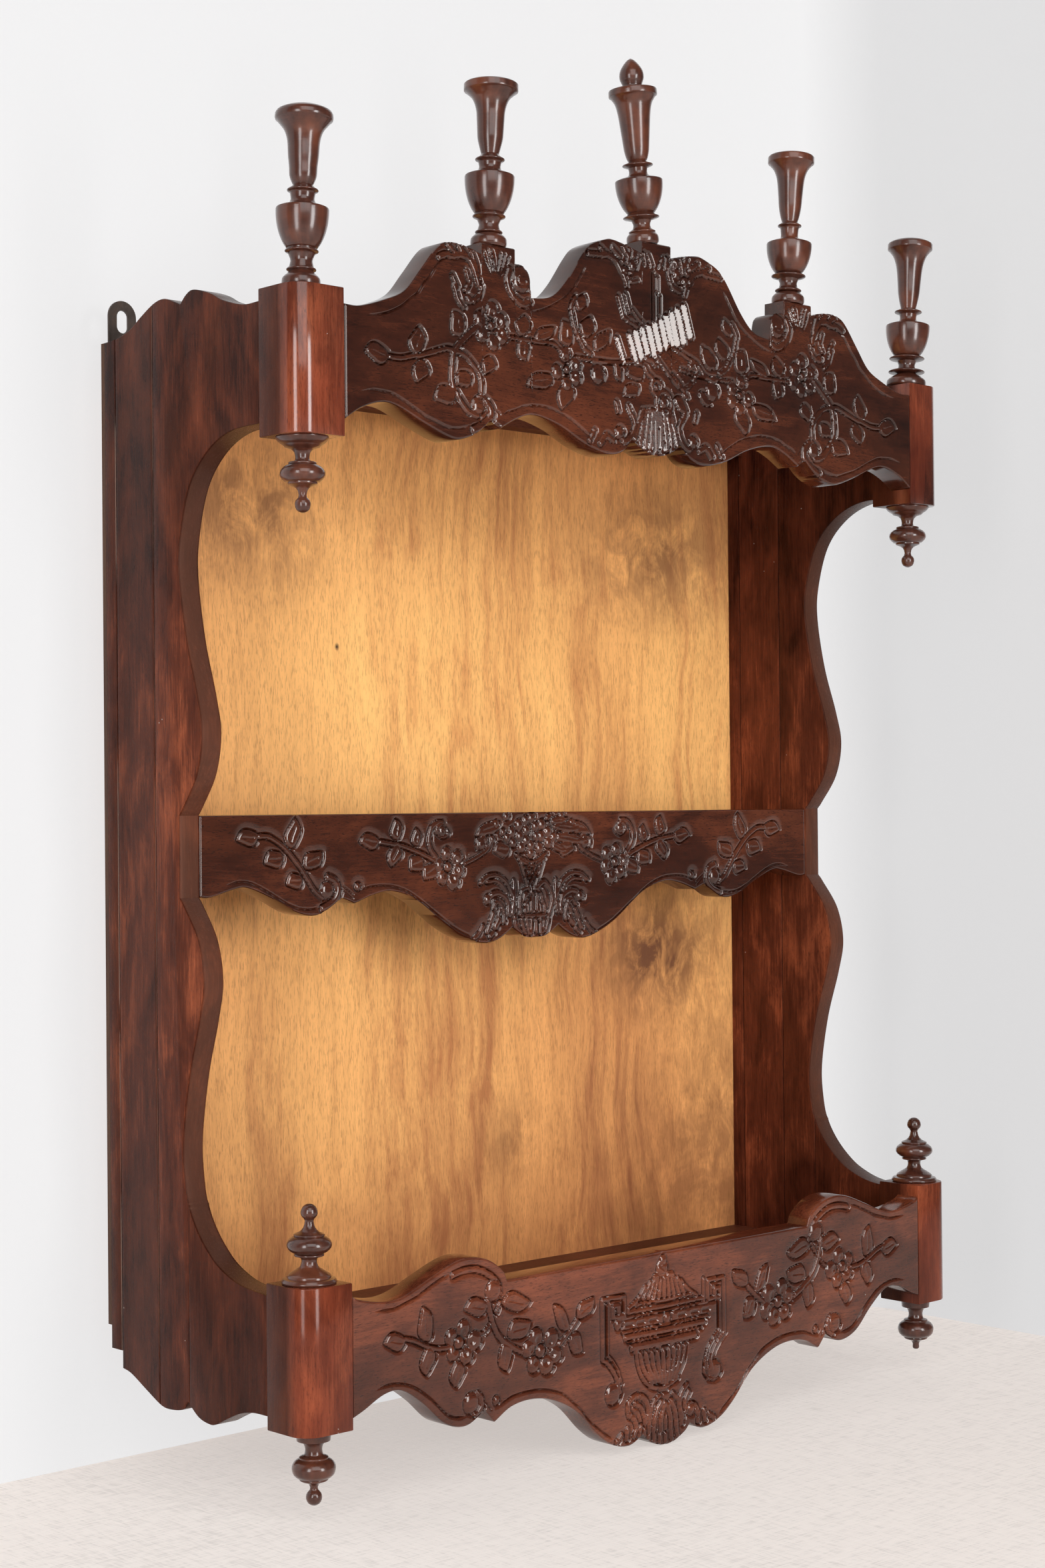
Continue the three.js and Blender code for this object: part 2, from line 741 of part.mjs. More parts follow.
// A turned solid from [radius, height] points above its seat, with the round peg below, or above a pendant.
// Its axis leans sideways by the given share of the height, and the peg stays upright.
function turnedPiece(points, lean = 0) {
  const pegged = [[0, -PEG], [PEG_RADIUS, -PEG], [PEG_RADIUS, GAP], ...points];
  const profile = pegged.map(([r, z]) => new THREE.Vector2(r, z));
  const geometry = new THREE.LatheGeometry(profile, TURNING_STEPS).rotateX(Math.PI / 2);
  const position = geometry.attributes.position;
  for (let i = 0; i < position.count; i++) {
    const rise = Math.max(position.getZ(i), 0);
    position.setX(i, position.getX(i) + lean * rise);
  }
  return geometry;
}

// The five tall finials share one pattern: a round base, a ring, a waist, a second ring, an urn, a neck with a
// third ring, and a trumpet that flares to a rim. Radii and heights above the seat differ a little in each.
const crestSeat = HEAD + PLINTH_RISE;
const postX = HALF - POST / 2;
const tallFinials = [
  {
    name: "finial_post_left",
    x: -postX,
    seat: HEAD,
    base: 14.8,
    lowRing: [11.4, 13.7],
    waist: 8.6,
    highRing: [12.9, 28.2],
    urn: [20.6, 60.4],
    neck: 9.4,
    collar: [12, 75.1],
    rim: [22.4, 129.5, 136],
    apex: 142,
    lean: 0.034,
  },
  {
    name: "finial_crest_left",
    onCrest: true,
    x: -PLINTH_PLACE,
    seat: crestSeat,
    base: 14.7,
    lowRing: [11.1, 12.3],
    waist: 8.2,
    highRing: [13.3, 25.3],
    urn: [20.4, 57.7],
    neck: 8.8,
    collar: [11.9, 71.9],
    rim: [22.2, 128.4, 133.7],
    apex: 138.5,
    lean: 0.034,
  },
  {
    name: "finial_centre",
    onCrest: true,
    x: -4,
    seat: HEAD + CENTRE_RISE,
    base: 13.8,
    lowRing: [11.4, 10.6],
    waist: 7.3,
    highRing: [15.4, 23.2],
    urn: [20.5, 54],
    neck: 7.8,
    collar: [13, 67.6],
    rim: [20.9, 126.7, 131],
    apex: 159,
    bud: [8.3, 10.5],
    lean: -0.08,
  },
  {
    name: "finial_crest_right",
    onCrest: true,
    x: PLINTH_PLACE,
    seat: crestSeat,
    base: 14.7,
    lowRing: [11.8, 12.8],
    waist: 8.2,
    highRing: [15.3, 26.3],
    urn: [20.5, 55.3],
    neck: 7.9,
    collar: [10.6, 72.6],
    rim: [21, 130, 135.3],
    apex: 139.1,
    lean: 0.05,
  },
  {
    name: "finial_post_right",
    x: postX,
    seat: HEAD,
    base: 20.7,
    lowRing: [17, 15.3],
    waist: 7.8,
    highRing: [16.5, 28.3],
    urn: [20.9, 59.6],
    neck: 7.8,
    collar: [12.8, 73.6],
    rim: [21.3, 134.5, 139.7],
    apex: 144.2,
    lean: 0.062,
  },
];

// The trumpet from the collar to the rim: parts of the rise, and parts of the rim's radius.
const TRUMPET = [
  [0.03, 0.36],
  [0.12, 0.44],
  [0.35, 0.5],
  [0.62, 0.55],
  [0.78, 0.63],
  [0.88, 0.74],
  [0.96, 0.91],
  [1, 1],
];

function tallFinialProfile(f) {
  const [lowR, lowZ] = f.lowRing;
  const [highR, highZ] = f.highRing;
  const [urnR, urnTop] = f.urn;
  const [collarR, collarZ] = f.collar;
  const [rimR, rimBottom, rimTop] = f.rim;
  const urnBottom = highZ + 2;
  const trumpetBottom = collarZ + 4;
  const points = [
    [f.base - 0.8, GAP],
    [f.base, 3],
    [f.base - 1.2, lowZ - 5.5],
    [lowR - 2.2, lowZ - 1.8],
    [lowR, lowZ],
    [f.waist, (lowZ + highZ) / 2],
    [highR - 3, highZ - 2.8],
    [highR, highZ],
  ];
  const urnSteps = 5;
  for (let i = 0; i <= urnSteps; i++) {
    const part = i / urnSteps;
    const radius = urnR * Math.sqrt(1 - ((0.78 - 0.8 * part) / 0.96) ** 2);
    points.push([radius, urnBottom + part * (urnTop - urnBottom)]);
  }
  points.push([urnR - 4, urnTop + 2.6], [f.neck + 2.2, urnTop + 3], [f.neck, collarZ - 7]);
  points.push([collarR - 1.4, collarZ - 1.4], [collarR, collarZ], [collarR - 3, collarZ + 3]);
  for (const [part, share] of TRUMPET)
    points.push([share * rimR, trumpetBottom + part * (rimBottom - trumpetBottom)]);
  points.push([rimR, rimTop - 1], [rimR - 1, rimTop]);
  if (f.bud) {
    const [stemR, budR] = f.bud;
    points.push([stemR, rimTop + 3.5], [budR, rimTop + 12], [budR * 0.8, f.apex - 7], [budR * 0.3, f.apex - 0.8]);
  } else points.push([rimR * 0.7, rimTop + 0.7 * (f.apex - rimTop)]);
  points.push([0, f.apex]);
  return points;
}

// The small drop under an upper post, the little finial on a lower post and the drop under it share a bulb
// between two rings and a ball on a thin neck. Heights run away from the seat.
const UPPER_DROP = {
  foot: [[20.2, 1.2], [14.6, 6.5], [13.6, 7.4], [8.3, 9.6]],
  neck: [5.5, 15.5],
  nearRing: [10.9, 20.7],
  bulb: [17.4, 29],
  farRing: [11.2, 36.5],
  stem: [2.9, 45.5],
  ball: [6, 52.3],
};
const LOWER_FINIAL = {
  foot: [[21.3, 1.5], [16.8, 6], [15.8, 7.6], [9.5, 10]],
  neck: [6, 16],
  nearRing: [11.5, 22],
  bulb: [17.3, 29.8],
  farRing: [11.8, 37.2],
  stem: [3.3, 48],
  ball: [6.5, 54.2],
};
const LOWER_DROP = {
  foot: [[13, 1], [13, 6.5], [8, 11]],
  neck: [6.7, 14.5],
  nearRing: [11.3, 19.5],
  bulb: [16.9, 29.2],
  farRing: [10.2, 38.6],
  stem: [2.8, 45.5],
  ball: [6.2, 51.6],
};

function bulbProfile(p, withBall = true) {
  const [neckR, neckZ] = p.neck;
  const [nearR, nearZ] = p.nearRing;
  const [bulbR, bulbZ] = p.bulb;
  const [farR, farZ] = p.farRing;
  const [stemR, stemZ] = p.stem;
  const [ballR, ballZ] = p.ball;
  const points = [[p.foot[0][0] - 0.6, GAP], ...p.foot, [neckR, neckZ], [nearR - 1, nearZ - 1.4], [nearR, nearZ]];
  for (const part of [0.33, 0.7]) {
    const rise = nearZ + part * (bulbZ - nearZ);
    points.push([nearR + (bulbR - nearR) * Math.sin((part * Math.PI) / 2), rise]);
  }
  points.push([bulbR, bulbZ]);
  for (const part of [0.33, 0.7]) {
    const rise = bulbZ + part * (farZ - bulbZ);
    points.push([farR + (bulbR - farR) * Math.cos((part * Math.PI) / 2), rise]);
  }
  points.push([farR, farZ], [farR - 1, farZ + 1], [(farR + stemR) / 2 - 1, farZ + 2.6], [stemR + 0.8, farZ + 5]);
  if (!withBall) {
    points.push([stemR, farZ + 7], [0, farZ + 7.6]);
    return points;
  }
  points.push([stemR, stemZ]);
  for (const degrees of [-40, -10, 20, 50]) {
    const angle = THREE.MathUtils.degToRad(degrees);
    points.push([ballR * Math.cos(angle), ballZ + ballR * Math.sin(angle)]);
  }
  points.push([0, ballZ + ballR]);
  return points;
}

function addTurned(name, points, x, y, z, lean = 0, hanging = false) {
  const mesh = add(name, turnedPiece(points, lean), turned);
  mesh.position.set(x, y, z);
  if (hanging) mesh.rotation.x = Math.PI;
}

function addTurnings() {
  for (const f of tallFinials) {
    const depth = f.onCrest ? RAIL / 2 : POST / 2;
    addTurned(f.name, tallFinialProfile(f), f.x, behind(depth), f.seat, f.lean);
  }
  const y = behind(POST / 2);
  for (const [name, side] of [["left", -1], ["right", 1]]) {
    const x = side * postX;
    addTurned("upper_pendant_" + name, bulbProfile(UPPER_DROP), x, y, HEAD - UPPER_POST, 0, true);
    addTurned("lower_finial_" + name, bulbProfile(LOWER_FINIAL), x, y, FOOT + LOWER_POST);
    const whole = side < 0;
    addTurned("lower_pendant_" + name, bulbProfile(LOWER_DROP, whole), x, y, FOOT, 0, true);
  }
}

for (const [name, side] of [["left", -1], ["right", 1]]) {
  addSide(name, side);
  addPost("upper_post_" + name, side, HEAD - UPPER_POST, UPPER_POST, UPPER_TENON);
  addPost("lower_post_" + name, side, FOOT, LOWER_POST, LOWER_TENON);
  addHangingPlate(name, side);
}
addRails();
const shelfHoles = fixingHoles();
const middleFront = behind(WAIST_SETBACK + RAIL) + GAP;
addShelf("middle_shelf", shelfOutline(middleFront, middleFront, false), MIDDLE_SHELF_Z, shelfHoles);
const bottomFront = behind(RAIL) + GAP;
addShelf("bottom_shelf", shelfOutline(bottomFront, behind(POST + SHOULDER), true), BOTTOM_SHELF_Z, shelfHoles);
addBack();
addTurnings();

export default rack;
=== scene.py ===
import math

import bmesh
import bpy
import numpy as np
from bpy.props import FloatProperty, FloatVectorProperty, PointerProperty
from mathutils import Matrix, Vector
from mathutils.kdtree import KDTree


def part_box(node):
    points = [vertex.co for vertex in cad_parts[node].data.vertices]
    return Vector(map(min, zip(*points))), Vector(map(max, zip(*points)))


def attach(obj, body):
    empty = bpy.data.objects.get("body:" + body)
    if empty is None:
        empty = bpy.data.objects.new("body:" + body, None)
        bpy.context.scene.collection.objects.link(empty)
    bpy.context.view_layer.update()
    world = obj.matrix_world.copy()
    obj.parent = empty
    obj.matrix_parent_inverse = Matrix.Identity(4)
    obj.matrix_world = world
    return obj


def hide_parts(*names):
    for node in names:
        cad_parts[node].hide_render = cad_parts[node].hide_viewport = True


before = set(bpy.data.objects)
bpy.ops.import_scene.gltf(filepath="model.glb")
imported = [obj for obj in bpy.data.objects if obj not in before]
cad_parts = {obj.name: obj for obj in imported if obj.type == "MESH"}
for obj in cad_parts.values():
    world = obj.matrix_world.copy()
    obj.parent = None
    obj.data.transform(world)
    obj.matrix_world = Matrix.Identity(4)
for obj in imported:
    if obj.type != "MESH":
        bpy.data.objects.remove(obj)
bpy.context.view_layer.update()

bl_info = {
    "name": "Carved plate rack",
    "version": (1, 0, 0),
    "blender": (4, 5, 0),
    "location": "View3D > Sidebar > Plate rack",
    "description": "Makes the carved and turned pieces of a hanging plate rack, with their finishes",
    "category": "Object",
}

MM = 0.001


def limit(node, end, axis):
    """Where a CAD node begins (0) or ends (1) along an axis, in mm."""
    return round(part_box(node)[end][axis] / MM, 2)


# Places in mm, worked out from the frame. GAP is the clearance between pieces that meet.
GAP = 0.3
FRONT = limit("crest_rail", 0, 1)
RAIL_THICKNESS = limit("crest_rail", 1, 1) - FRONT
RAIL_MIDDLE = FRONT + RAIL_THICKNESS / 2
MIDDLE_FRONT = limit("middle_rail", 0, 1)
POST_INNER = limit("upper_post_right", 0, 0) - GAP
POST_BACK = limit("upper_post_right", 1, 1) + GAP
POST_X = (limit("upper_post_right", 0, 0) + limit("upper_post_right", 1, 0)) / 2
POST_Y = (limit("upper_post_right", 0, 1) + limit("upper_post_right", 1, 1)) / 2
HEAD = limit("upper_post_right", 1, 2)
UPPER_POST_FOOT = limit("upper_post_right", 0, 2)
LOWER_POST_HEAD = limit("lower_post_right", 1, 2)
SIDE_INNER = limit("side_rear_board_right", 0, 0)
SIDE_OUTER = limit("side_rear_board_right", 1, 0)
PANEL_FRONT = limit("back_panel", 0, 1)
# Heights in the tables below are counted in mm from the feet of the lower posts.
FOOT = -limit("lower_post_right", 0, 2)
SIDES = ((-1, "left"), (1, "right"))

# Outlines of the rails and boards.
# Upper edge of the crest, from the post to the outer plinth and from there to the middle one.
CREST_OUTER_TOP = [
    (POST_INNER, 862), (326.7, 862.5), (301.7, 870.5), (281.8, 880), (265.9, 898), (247.9, 919),
    (234.9, 924.5), (218, 924), (201.1, 920),
]
CREST_SCROLL_TOP = [(164.9, 917), (161, 917), (154, 916), (149, 911.5), (147.2, 905)]
CREST_INNER_TOP = [
    (147, 891), (124, 895.5), (107, 910), (89, 934), (78, 945), (60, 952), (50, 953),
    (32.3, 950), (17.6, 946.5),
]
# Plinths: inner edge, outer edge and height of the top.
CREST_PLINTH = (165.0, 201.0, 929.0)
CENTRE_PLINTH = (-17.5, 17.5, 957.0)
CREST_BOTTOM = [
    [(POST_INNER, 773), (326.6, 783), (306.7, 789.5), (289.6, 788), (261.8, 777), (236.5, 768.5),
     (222.8, 768.5), (205.6, 775.5), (191.9, 786.5)],
    [(191.9, 786.5), (182, 780.5)],
    [(182, 780.5), (162.8, 790.5), (143.9, 795.3), (114.8, 789), (87, 777), (61, 771), (42.8, 774),
     (29.1, 786)],
    [(29.1, 786), (20.6, 780), (8.6, 775.5), (0, 774.5)],
]
MIDDLE_TOP = 470.0
MIDDLE_BOTTOM = [
    [(SIDE_INNER - GAP, 404), (357.6, 403.5), (333.7, 409.5), (319.7, 410), (293.9, 400), (268.8, 388),
     (247, 386), (222, 399)],
    [(222, 399), (208.7, 394)],
    [(208.7, 394), (186.9, 401), (165.9, 403), (137.9, 394), (102.9, 370), (77.4, 358), (59, 354),
     (42.4, 358), (28, 367)],
    [(28, 367), (22.1, 363), (12.2, 358), (0, 357)],
]
BOTTOM_TOP = [
    [(POST_INNER, 102), (333.8, 98), (309.8, 93.5), (290.6, 95.5), (265.9, 105), (239.9, 114.5),
     (221.7, 116.5), (202.2, 112), (187.8, 102), (183.7, 93.5)],
    [(183.7, 93.5), (0, 93.5)],
]
BOTTOM_BOTTOM = [
    [(POST_INNER, 9), (332.4, 13), (311.9, 22), (293.7, 22), (271.8, 8), (249.8, -11), (227.9, -16.5),
     (207.7, -7.5)],
    [(207.7, -7.5), (197.7, -18.5)],
    [(197.7, -18.5), (179.9, -9.5), (157.6, -7), (133.7, -11.5), (106.9, -25), (82.9, -48),
     (64.1, -60.5), (44.9, -64.5), (28.1, -58)],
    [(28.1, -58), (21.2, -64.5), (10.3, -69.5), (0, -71)],
]
# The side board's edges: depth from the wall plane (negative towards the room) and height.
SIDE_TOP = [
    [(POST_BACK, 865), (-196.4, 865.5), (-169.8, 873), (-152.8, 881), (-131.8, 887), (-121.8, 885),
     (-112.8, 878)],
    [(-112.8, 878), (-105.8, 881), (-90, 886), (-75, 884), (-56.9, 876), (-41.2, 868), (-20.2, 863),
     (-5.2, 862)],
]
SIDE_BOTTOM = [
    [(POST_BACK, 10.5), (-199.2, 10), (-182, 6.5), (-164.3, -0.8), (-150, -7.4), (-141.1, -8.6),
     (-126.9, -5.6), (-112.8, 4)],
    [(-112.8, 4), (-105.8, -3), (-90, -6), (-75, -5), (-54, 4), (-32, 14), (-17.8, 17), (-12, 21)],
]
SIDE_FRONT_UPPER = [
    (MIDDLE_FRONT, MIDDLE_TOP), (-112.1, 476.9), (-130.6, 502.8), (-137.8, 534.7), (-131.5, 565.7),
    (-117.4, 610.6), (-108.5, 659.6), (-110, 692.1), (-123, 731.3), (-146.9, 756), (-177.8, 768.9),
    (POST_BACK, 771),
]
SIDE_FRONT_LOWER = [
    (MIDDLE_FRONT, 404), (-112.1, 397), (-130.6, 371), (-137.8, 338.9), (-131.5, 307.6), (-117.4, 262.5),
    (-108.5, 213.1), (-110, 180.4), (-115.8, 158), (-128.3, 138.6), (-146.2, 121.9), (-163, 112.5),
    (-184.2, 105.9), (POST_BACK, 102.3),
]
# Where the side boards part: three depths and two heights. WING_DROP is the gap over the lower wing.
WING_SPLIT = -115.0
WING_TOP = 161.0
WING_DROP = 0.5
REAR_SPLIT = -74.0
STRIP_SPLIT = -20.0
STRIP_FOOT = 31.0

# Carved motifs.
# A stem is (width, points), a ball (x, height, radius), a cut (width, depth, points), and a flower
# (x, height, radius of the button, petals), of which each petal is a ball. A leaf is (base x, base height,
# tip x, tip height, width). The left half is listed and the right mirrors it, but for the centre's motifs.
CREST_LEAVES = [
    (-298, 827, -322, 828, 15), (-271, 831, -267, 853, 15), (-262, 827, -270, 809, 15),
    (-222, 852, -232, 869, 17), (-229, 806, -252, 798, 15), (-213, 821, -229, 812, 13),
    (-158, 859, -153, 876, 15), (-158, 855, -153, 839, 14), (-142, 857, -120, 870, 10),
    (-103, 857, -111, 877, 17), (-190, 838, -198, 823, 13), (-93, 888, -85, 902, 11),
    (-86, 866, -78, 884, 15), (-74, 857, -56, 875, 12), (-104, 827, -113, 803, 16),
    (-122, 829, -152, 819, 13),
]
CREST_STEMS = [
    (3.6, [(-298, 826), (-286, 826), (-274, 829), (-263, 831), (-251, 835), (-238, 839), (-229, 838),
           (-219, 836), (-212, 831), (-205, 824), (-202, 816), (-202, 808)]),
    (4.8, [(-202, 861), (-207, 859), (-216, 852), (-225, 844), (-231, 836), (-233, 824), (-233, 813),
           (-228, 804), (-222, 797), (-215, 791), (-206, 789)]),
    (6.5, [(-203, 803), (-197, 801), (-192, 796), (-191.5, 790), (-195, 785), (-201, 781), (-210, 777)]),
    (3, [(-172, 856), (-155, 856), (-137, 856), (-120, 856), (-108, 846)]),
    (3, [(-96, 848), (-80, 848), (-60, 848), (-47, 849), (-30, 852)]),
    (3.6, [(-96, 898), (-101, 890), (-100, 882), (-97, 872), (-92, 865), (-86, 857), (-79, 853)]),
    (6, [(-169, 911), (-172, 904), (-170, 896), (-164, 889), (-155, 885), (-149, 887)]),
    (5, [(-245, 911), (-238, 914), (-230, 914), (-222, 916), (-214, 914), (-208, 906), (-204, 895)]),
    (3.2, [(-211, 919), (-207, 911), (-205, 902)]), (3.4, [(-217, 904), (-215, 898)]),
    (3.4, [(-232, 898), (-227, 890)]), (3.6, [(-230, 890), (-226, 880), (-220, 874)]),
    (3.4, [(-218, 888), (-212, 897)]), (3.4, [(-201, 893), (-203, 886), (-210, 880)]),
    (4, [(-236, 922), (-228, 917)]), (4.5, [(-224, 922), (-215, 915)]),
    (4.6, [(-45, 789), (-39, 783), (-31, 789), (-27, 800), (-35, 813)]),
    (5, [(-68, 779), (-61, 786), (-53, 783)]), (4, [(-49, 815), (-47, 808)]),
    (3.6, [(-81, 780), (-75, 789)]),
    (4.6, [(-80, 937), (-66, 938), (-57, 939), (-47, 935), (-41, 927)]),
    (3.6, [(-66, 944), (-60, 940)]), (3.6, [(-52, 946), (-43, 940)]), (3.6, [(-39, 948), (-33, 941)]),
    (3.4, [(-30, 920), (-23, 922)]), (3.4, [(-39, 925), (-35, 916)]),
    (3.4, [(-14, 946), (-12, 937)]), (3.4, [(-9, 945), (-5, 937)]),
    (3.4, [(-21, 942), (-25, 932), (-30, 927)]),
    (3.4, [(-31, 947), (-34, 935)]),
]
CREST_BALLS = [
    (-205, 797, 7), (-156.5, 905, 10.5), (-45, 790, 5.5), (-37, 929, 4), (-27, 934, 5),
    (-214, 881, 3.4), (-70, 837, 8),
]
CREST_FLOWERS = [
    (-190, 863, 3.6, [(-189, 876, 6.5), (-180, 868, 6.5), (-178, 856, 6.5), (-188, 850, 6.5),
                      (-200, 855, 6.5), (-202, 867, 6.5)]),
    (-106, 837, 3.4, [(-108, 849, 6), (-96, 842, 6), (-96, 831, 6), (-106, 825, 6), (-117, 834, 6)]),
]
CREST_CUTS = [
    (2.6, 1.7, [(-321, 856), (-308, 857.5), (-297, 861), (-285, 867), (-276, 874), (-269, 879),
                (-263, 887), (-256, 894), (-251, 901), (-245, 907), (-240, 909)]),
    (2.6, 1.7, [(-329, 795.5), (-316, 798), (-305, 798), (-295, 797), (-284, 793), (-273, 788),
                (-262, 783), (-249, 779), (-238, 776), (-228, 776), (-219, 778), (-212, 782)]),
    (2.6, 1.7, [(-181, 790), (-175, 794), (-166, 797), (-156, 801), (-144, 803), (-131, 803),
                (-119, 801), (-106, 797), (-94, 791), (-84, 785), (-78, 780)]),
    (2.4, 1.6, [(-150, 880), (-140, 881), (-129, 885), (-119, 890), (-109, 896), (-100, 904),
                (-92.5, 914), (-87.5, 921), (-81, 930)]),
    (1.6, 1.6, [(-187, 796), (-181, 791)]), (1.6, 1.6, [(-191, 787), (-181, 782)]),
    (3.4, 1.9, [(-199, 924), (-195, 913), (-189, 903)]),
    (3.4, 1.9, [(-195, 926), (-191, 917), (-187.5, 904)]),
    (3.4, 1.9, [(-190, 926), (-187.5, 917), (-186, 905)]),
    (3.4, 1.9, [(-180, 925), (-181.5, 916), (-184, 905)]),
    (3.4, 1.9, [(-175, 925), (-178, 914), (-182.5, 904)]),
    (3.4, 1.9, [(-170, 923), (-175, 912), (-181.5, 902)]),
    (1.4, 1.2, [(-159, 909), (-162, 905), (-159, 900), (-154, 901), (-152, 906)]),
]
CREST_CENTRE_STEMS = [
    (2.6, [(-3, 930), (-3, 889)]), (2.2, [(1.5, 928), (1.5, 916)]), (2.4, [(4, 912), (4, 896)]),
    (4, [(-45.5, 905), (-40, 891)]), (3.4, [(-37, 908), (-32, 894)]),
    (3, [(-29, 896), (-22, 890), (-15, 885)]), (3, [(-40, 889), (-30, 885), (-20, 882)]),
    (2.6, [(-2, 861), (17, 870), (50, 855), (32, 835), (-2, 861)]),
    (4, [(-12, 857), (-6, 856), (-1, 852)]), (4, [(-14, 849), (-10, 844), (-5, 841)]),
    (3.4, [(42, 862), (52, 858), (60, 850), (72, 846)]), (3.4, [(20, 846), (30, 838), (38, 828)]),
    (3.6, [(15, 941), (16, 930), (21, 922), (29, 919)]), (3.6, [(36, 949), (37, 941)]),
]
PIPES = [
    (3.8, [(-48, 870), (-39, 850)]), (4.8, [(-33, 874), (-26, 854)]), (5.8, [(-25, 877), (-18, 857)]),
    (5.8, [(-17.5, 881), (-10.5, 861)]), (5.8, [(-9.5, 884), (-2.5, 862)]),
    (5.8, [(-2, 887), (4.6, 866)]),
    (5.8, [(6, 891), (12.5, 869)]), (5.8, [(12.5, 895), (19.5, 872)]), (5.8, [(18.8, 899), (26.5, 873)]),
    (5.8, [(26, 903), (34, 876)]), (5.8, [(34, 907), (42.5, 881)]),
]
CREST_CENTRE_RINGS = [(0, 833, 6), (9, 821, 9.5)]
CREST_CENTRE_BALLS = [(0, 833, 2.6), (43, 856, 3.2), (35, 830, 3), (9, 821, 4.5)]
CREST_CENTRE_LEAVES = [
    (-15, 846, -37, 840, 13), (-50, 848, -43, 834, 9), (56, 870, 74, 858, 14), (52, 834, 68, 824, 9),
    (-22, 832, -40, 822, 11), (22, 826, 38, 816, 11),
]
NET_CUTS = [((4, 862), (28, 843)), ((9, 865), (34, 846)), ((14, 868), (40, 850)),
            ((6, 855), (22, 865)), ((13, 850), (30, 861)), ((20, 845), (38, 856)), ((27, 840), (44, 852))]
FAN_RAYS = 9

MIDDLE_LEAVES = [
    (-309.5, 453, -331.5, 449.5, 14), (-276, 441.5, -271, 467, 14.5), (-284, 436, -303.5, 430, 15),
    (-262, 425, -243, 438, 15), (-264, 417, -281, 412, 13.5), (-181, 446.5, -203, 446, 13.5),
    (-161, 447, -163, 465, 13), (-161, 443, -168, 424, 14), (-139, 441, -140, 457, 11),
    (-133, 431, -147, 421, 16), (-118, 425, -131, 412, 15), (-119, 456, -101, 452, 13),
    (-30, 438, -50, 435, 14), (-41, 461, -71, 449, 11), (-58, 448, -70, 437, 13),
]
MIDDLE_STEMS = [
    (4.2, [(-310, 452), (-300, 452), (-292, 448.5), (-284, 443.5), (-274.5, 435), (-265, 424.5),
           (-258, 415), (-251, 406), (-243, 400)]),
    (4, [(-180, 445.5), (-168, 443.8), (-156.5, 442), (-144.7, 438.5), (-133, 434.4), (-123.5, 430.5),
         (-117, 427)]),
    (6, [(-237, 417), (-230, 414), (-226, 408), (-228, 400), (-235, 394), (-243, 391)]),
    (4.6, [(-117, 431), (-123, 438), (-125.5, 447), (-123, 456), (-117, 460.5), (-110, 461)]),
    (3, [(-84, 425), (-74, 428.5), (-67, 431.5), (-58.8, 436), (-52, 443)]),
    (4.4, [(-65.5, 407.5), (-57.8, 412.5), (-46.7, 413.5), (-36.7, 409), (-30, 401), (-26.5, 390),
           (-28, 379)]),
    (3.6, [(-58, 408), (-48, 409), (-40, 405), (-34, 398)]),
    (5, [(-57, 392.5), (-51, 397), (-43, 397.5), (-35, 393), (-32, 386), (-33, 379)]),
    (3.6, [(-51, 385), (-46, 390), (-40.5, 386), (-38, 379), (-38, 372)]),
    (4, [(-43, 383), (-45, 377), (-42, 372)]),
    (5, [(-50.5, 380), (-54, 374)]), (6.5, [(-43.5, 374), (-48, 368)]), (5, [(-55, 370), (-58, 364)]),
    (4, [(-63, 369), (-69, 362), (-74, 358.5)]), (4, [(-51, 363), (-55, 359.5)]),
    (4.6, [(-26, 408), (-25.5, 398), (-26, 391)]),
]
MIDDLE_BALLS = [
    (-238, 406, 7.4), (-205, 408, 3.6), (-109.5, 454, 5), (-57, 392.5, 4.6), (-46.7, 459.5, 3.6),
    (-34, 466, 3.6), (-38, 452, 3.4), (-51, 446, 3.4), (-64, 442, 5),
]
MIDDLE_FLOWERS = [
    (-103, 422.6, 4.4, [(-104.7, 434, 6), (-92.4, 430.5, 6.4), (-91.5, 419, 6.4), (-97, 409.5, 7),
                        (-109.4, 413.5, 6.2), (-113, 424.4, 5.6)]),
]
MIDDLE_CUTS = [
    (2.7, 1.8, [(-342, 413.5), (-330, 415.2), (-318, 413.8), (-306, 409), (-294.4, 403), (-282.6, 396.8),
                (-271, 392), (-260.3, 390.3), (-251, 391), (-243, 393.5)]),
    (2, 1.7, [(-226, 411.5), (-217, 406), (-209.5, 401)]), (1.6, 1.6, [(-224, 408), (-210, 397.5)]),
    (2.7, 1.8, [(-209, 401), (-200.3, 405.6), (-189.7, 407.7), (-178, 408), (-165, 406.8), (-150, 402),
                (-135, 393.5), (-120, 383.5), (-105, 373.5), (-92, 366), (-80, 361), (-73, 359.5)]),
]
MIDDLE_BLOOMS = [
    (-27, 452, 4.6), (-18, 458.5, 5.4), (-17, 448, 5), (-9.4, 453.5, 4.8), (-9.4, 444.4, 4.8),
    (-10, 462.5, 4.4),
    (-3.5, 464.5, 4.4), (1.7, 457, 4.6), (2.8, 447.8, 4.4), (10, 458.5, 5.2), (9, 448, 5), (17.2, 452, 5),
    (17.8, 441.7, 5), (6.7, 437, 5), (-4.4, 433, 4.4), (-15.6, 438, 5), (-25.6, 442.2, 4.4), (-4, 440, 4),
    (24, 447, 4.2), (-33, 447, 4),
]
MIDDLE_CENTRE_LEAVES = [
    (22, 456, 62, 455, 9), (21, 447, 69, 443.5, 9), (18, 440, 42, 434.5, 8), (20, 460, 42, 464, 7),
    (-3, 462, 0, 469, 5), (14, 462, 22, 468, 5),
]
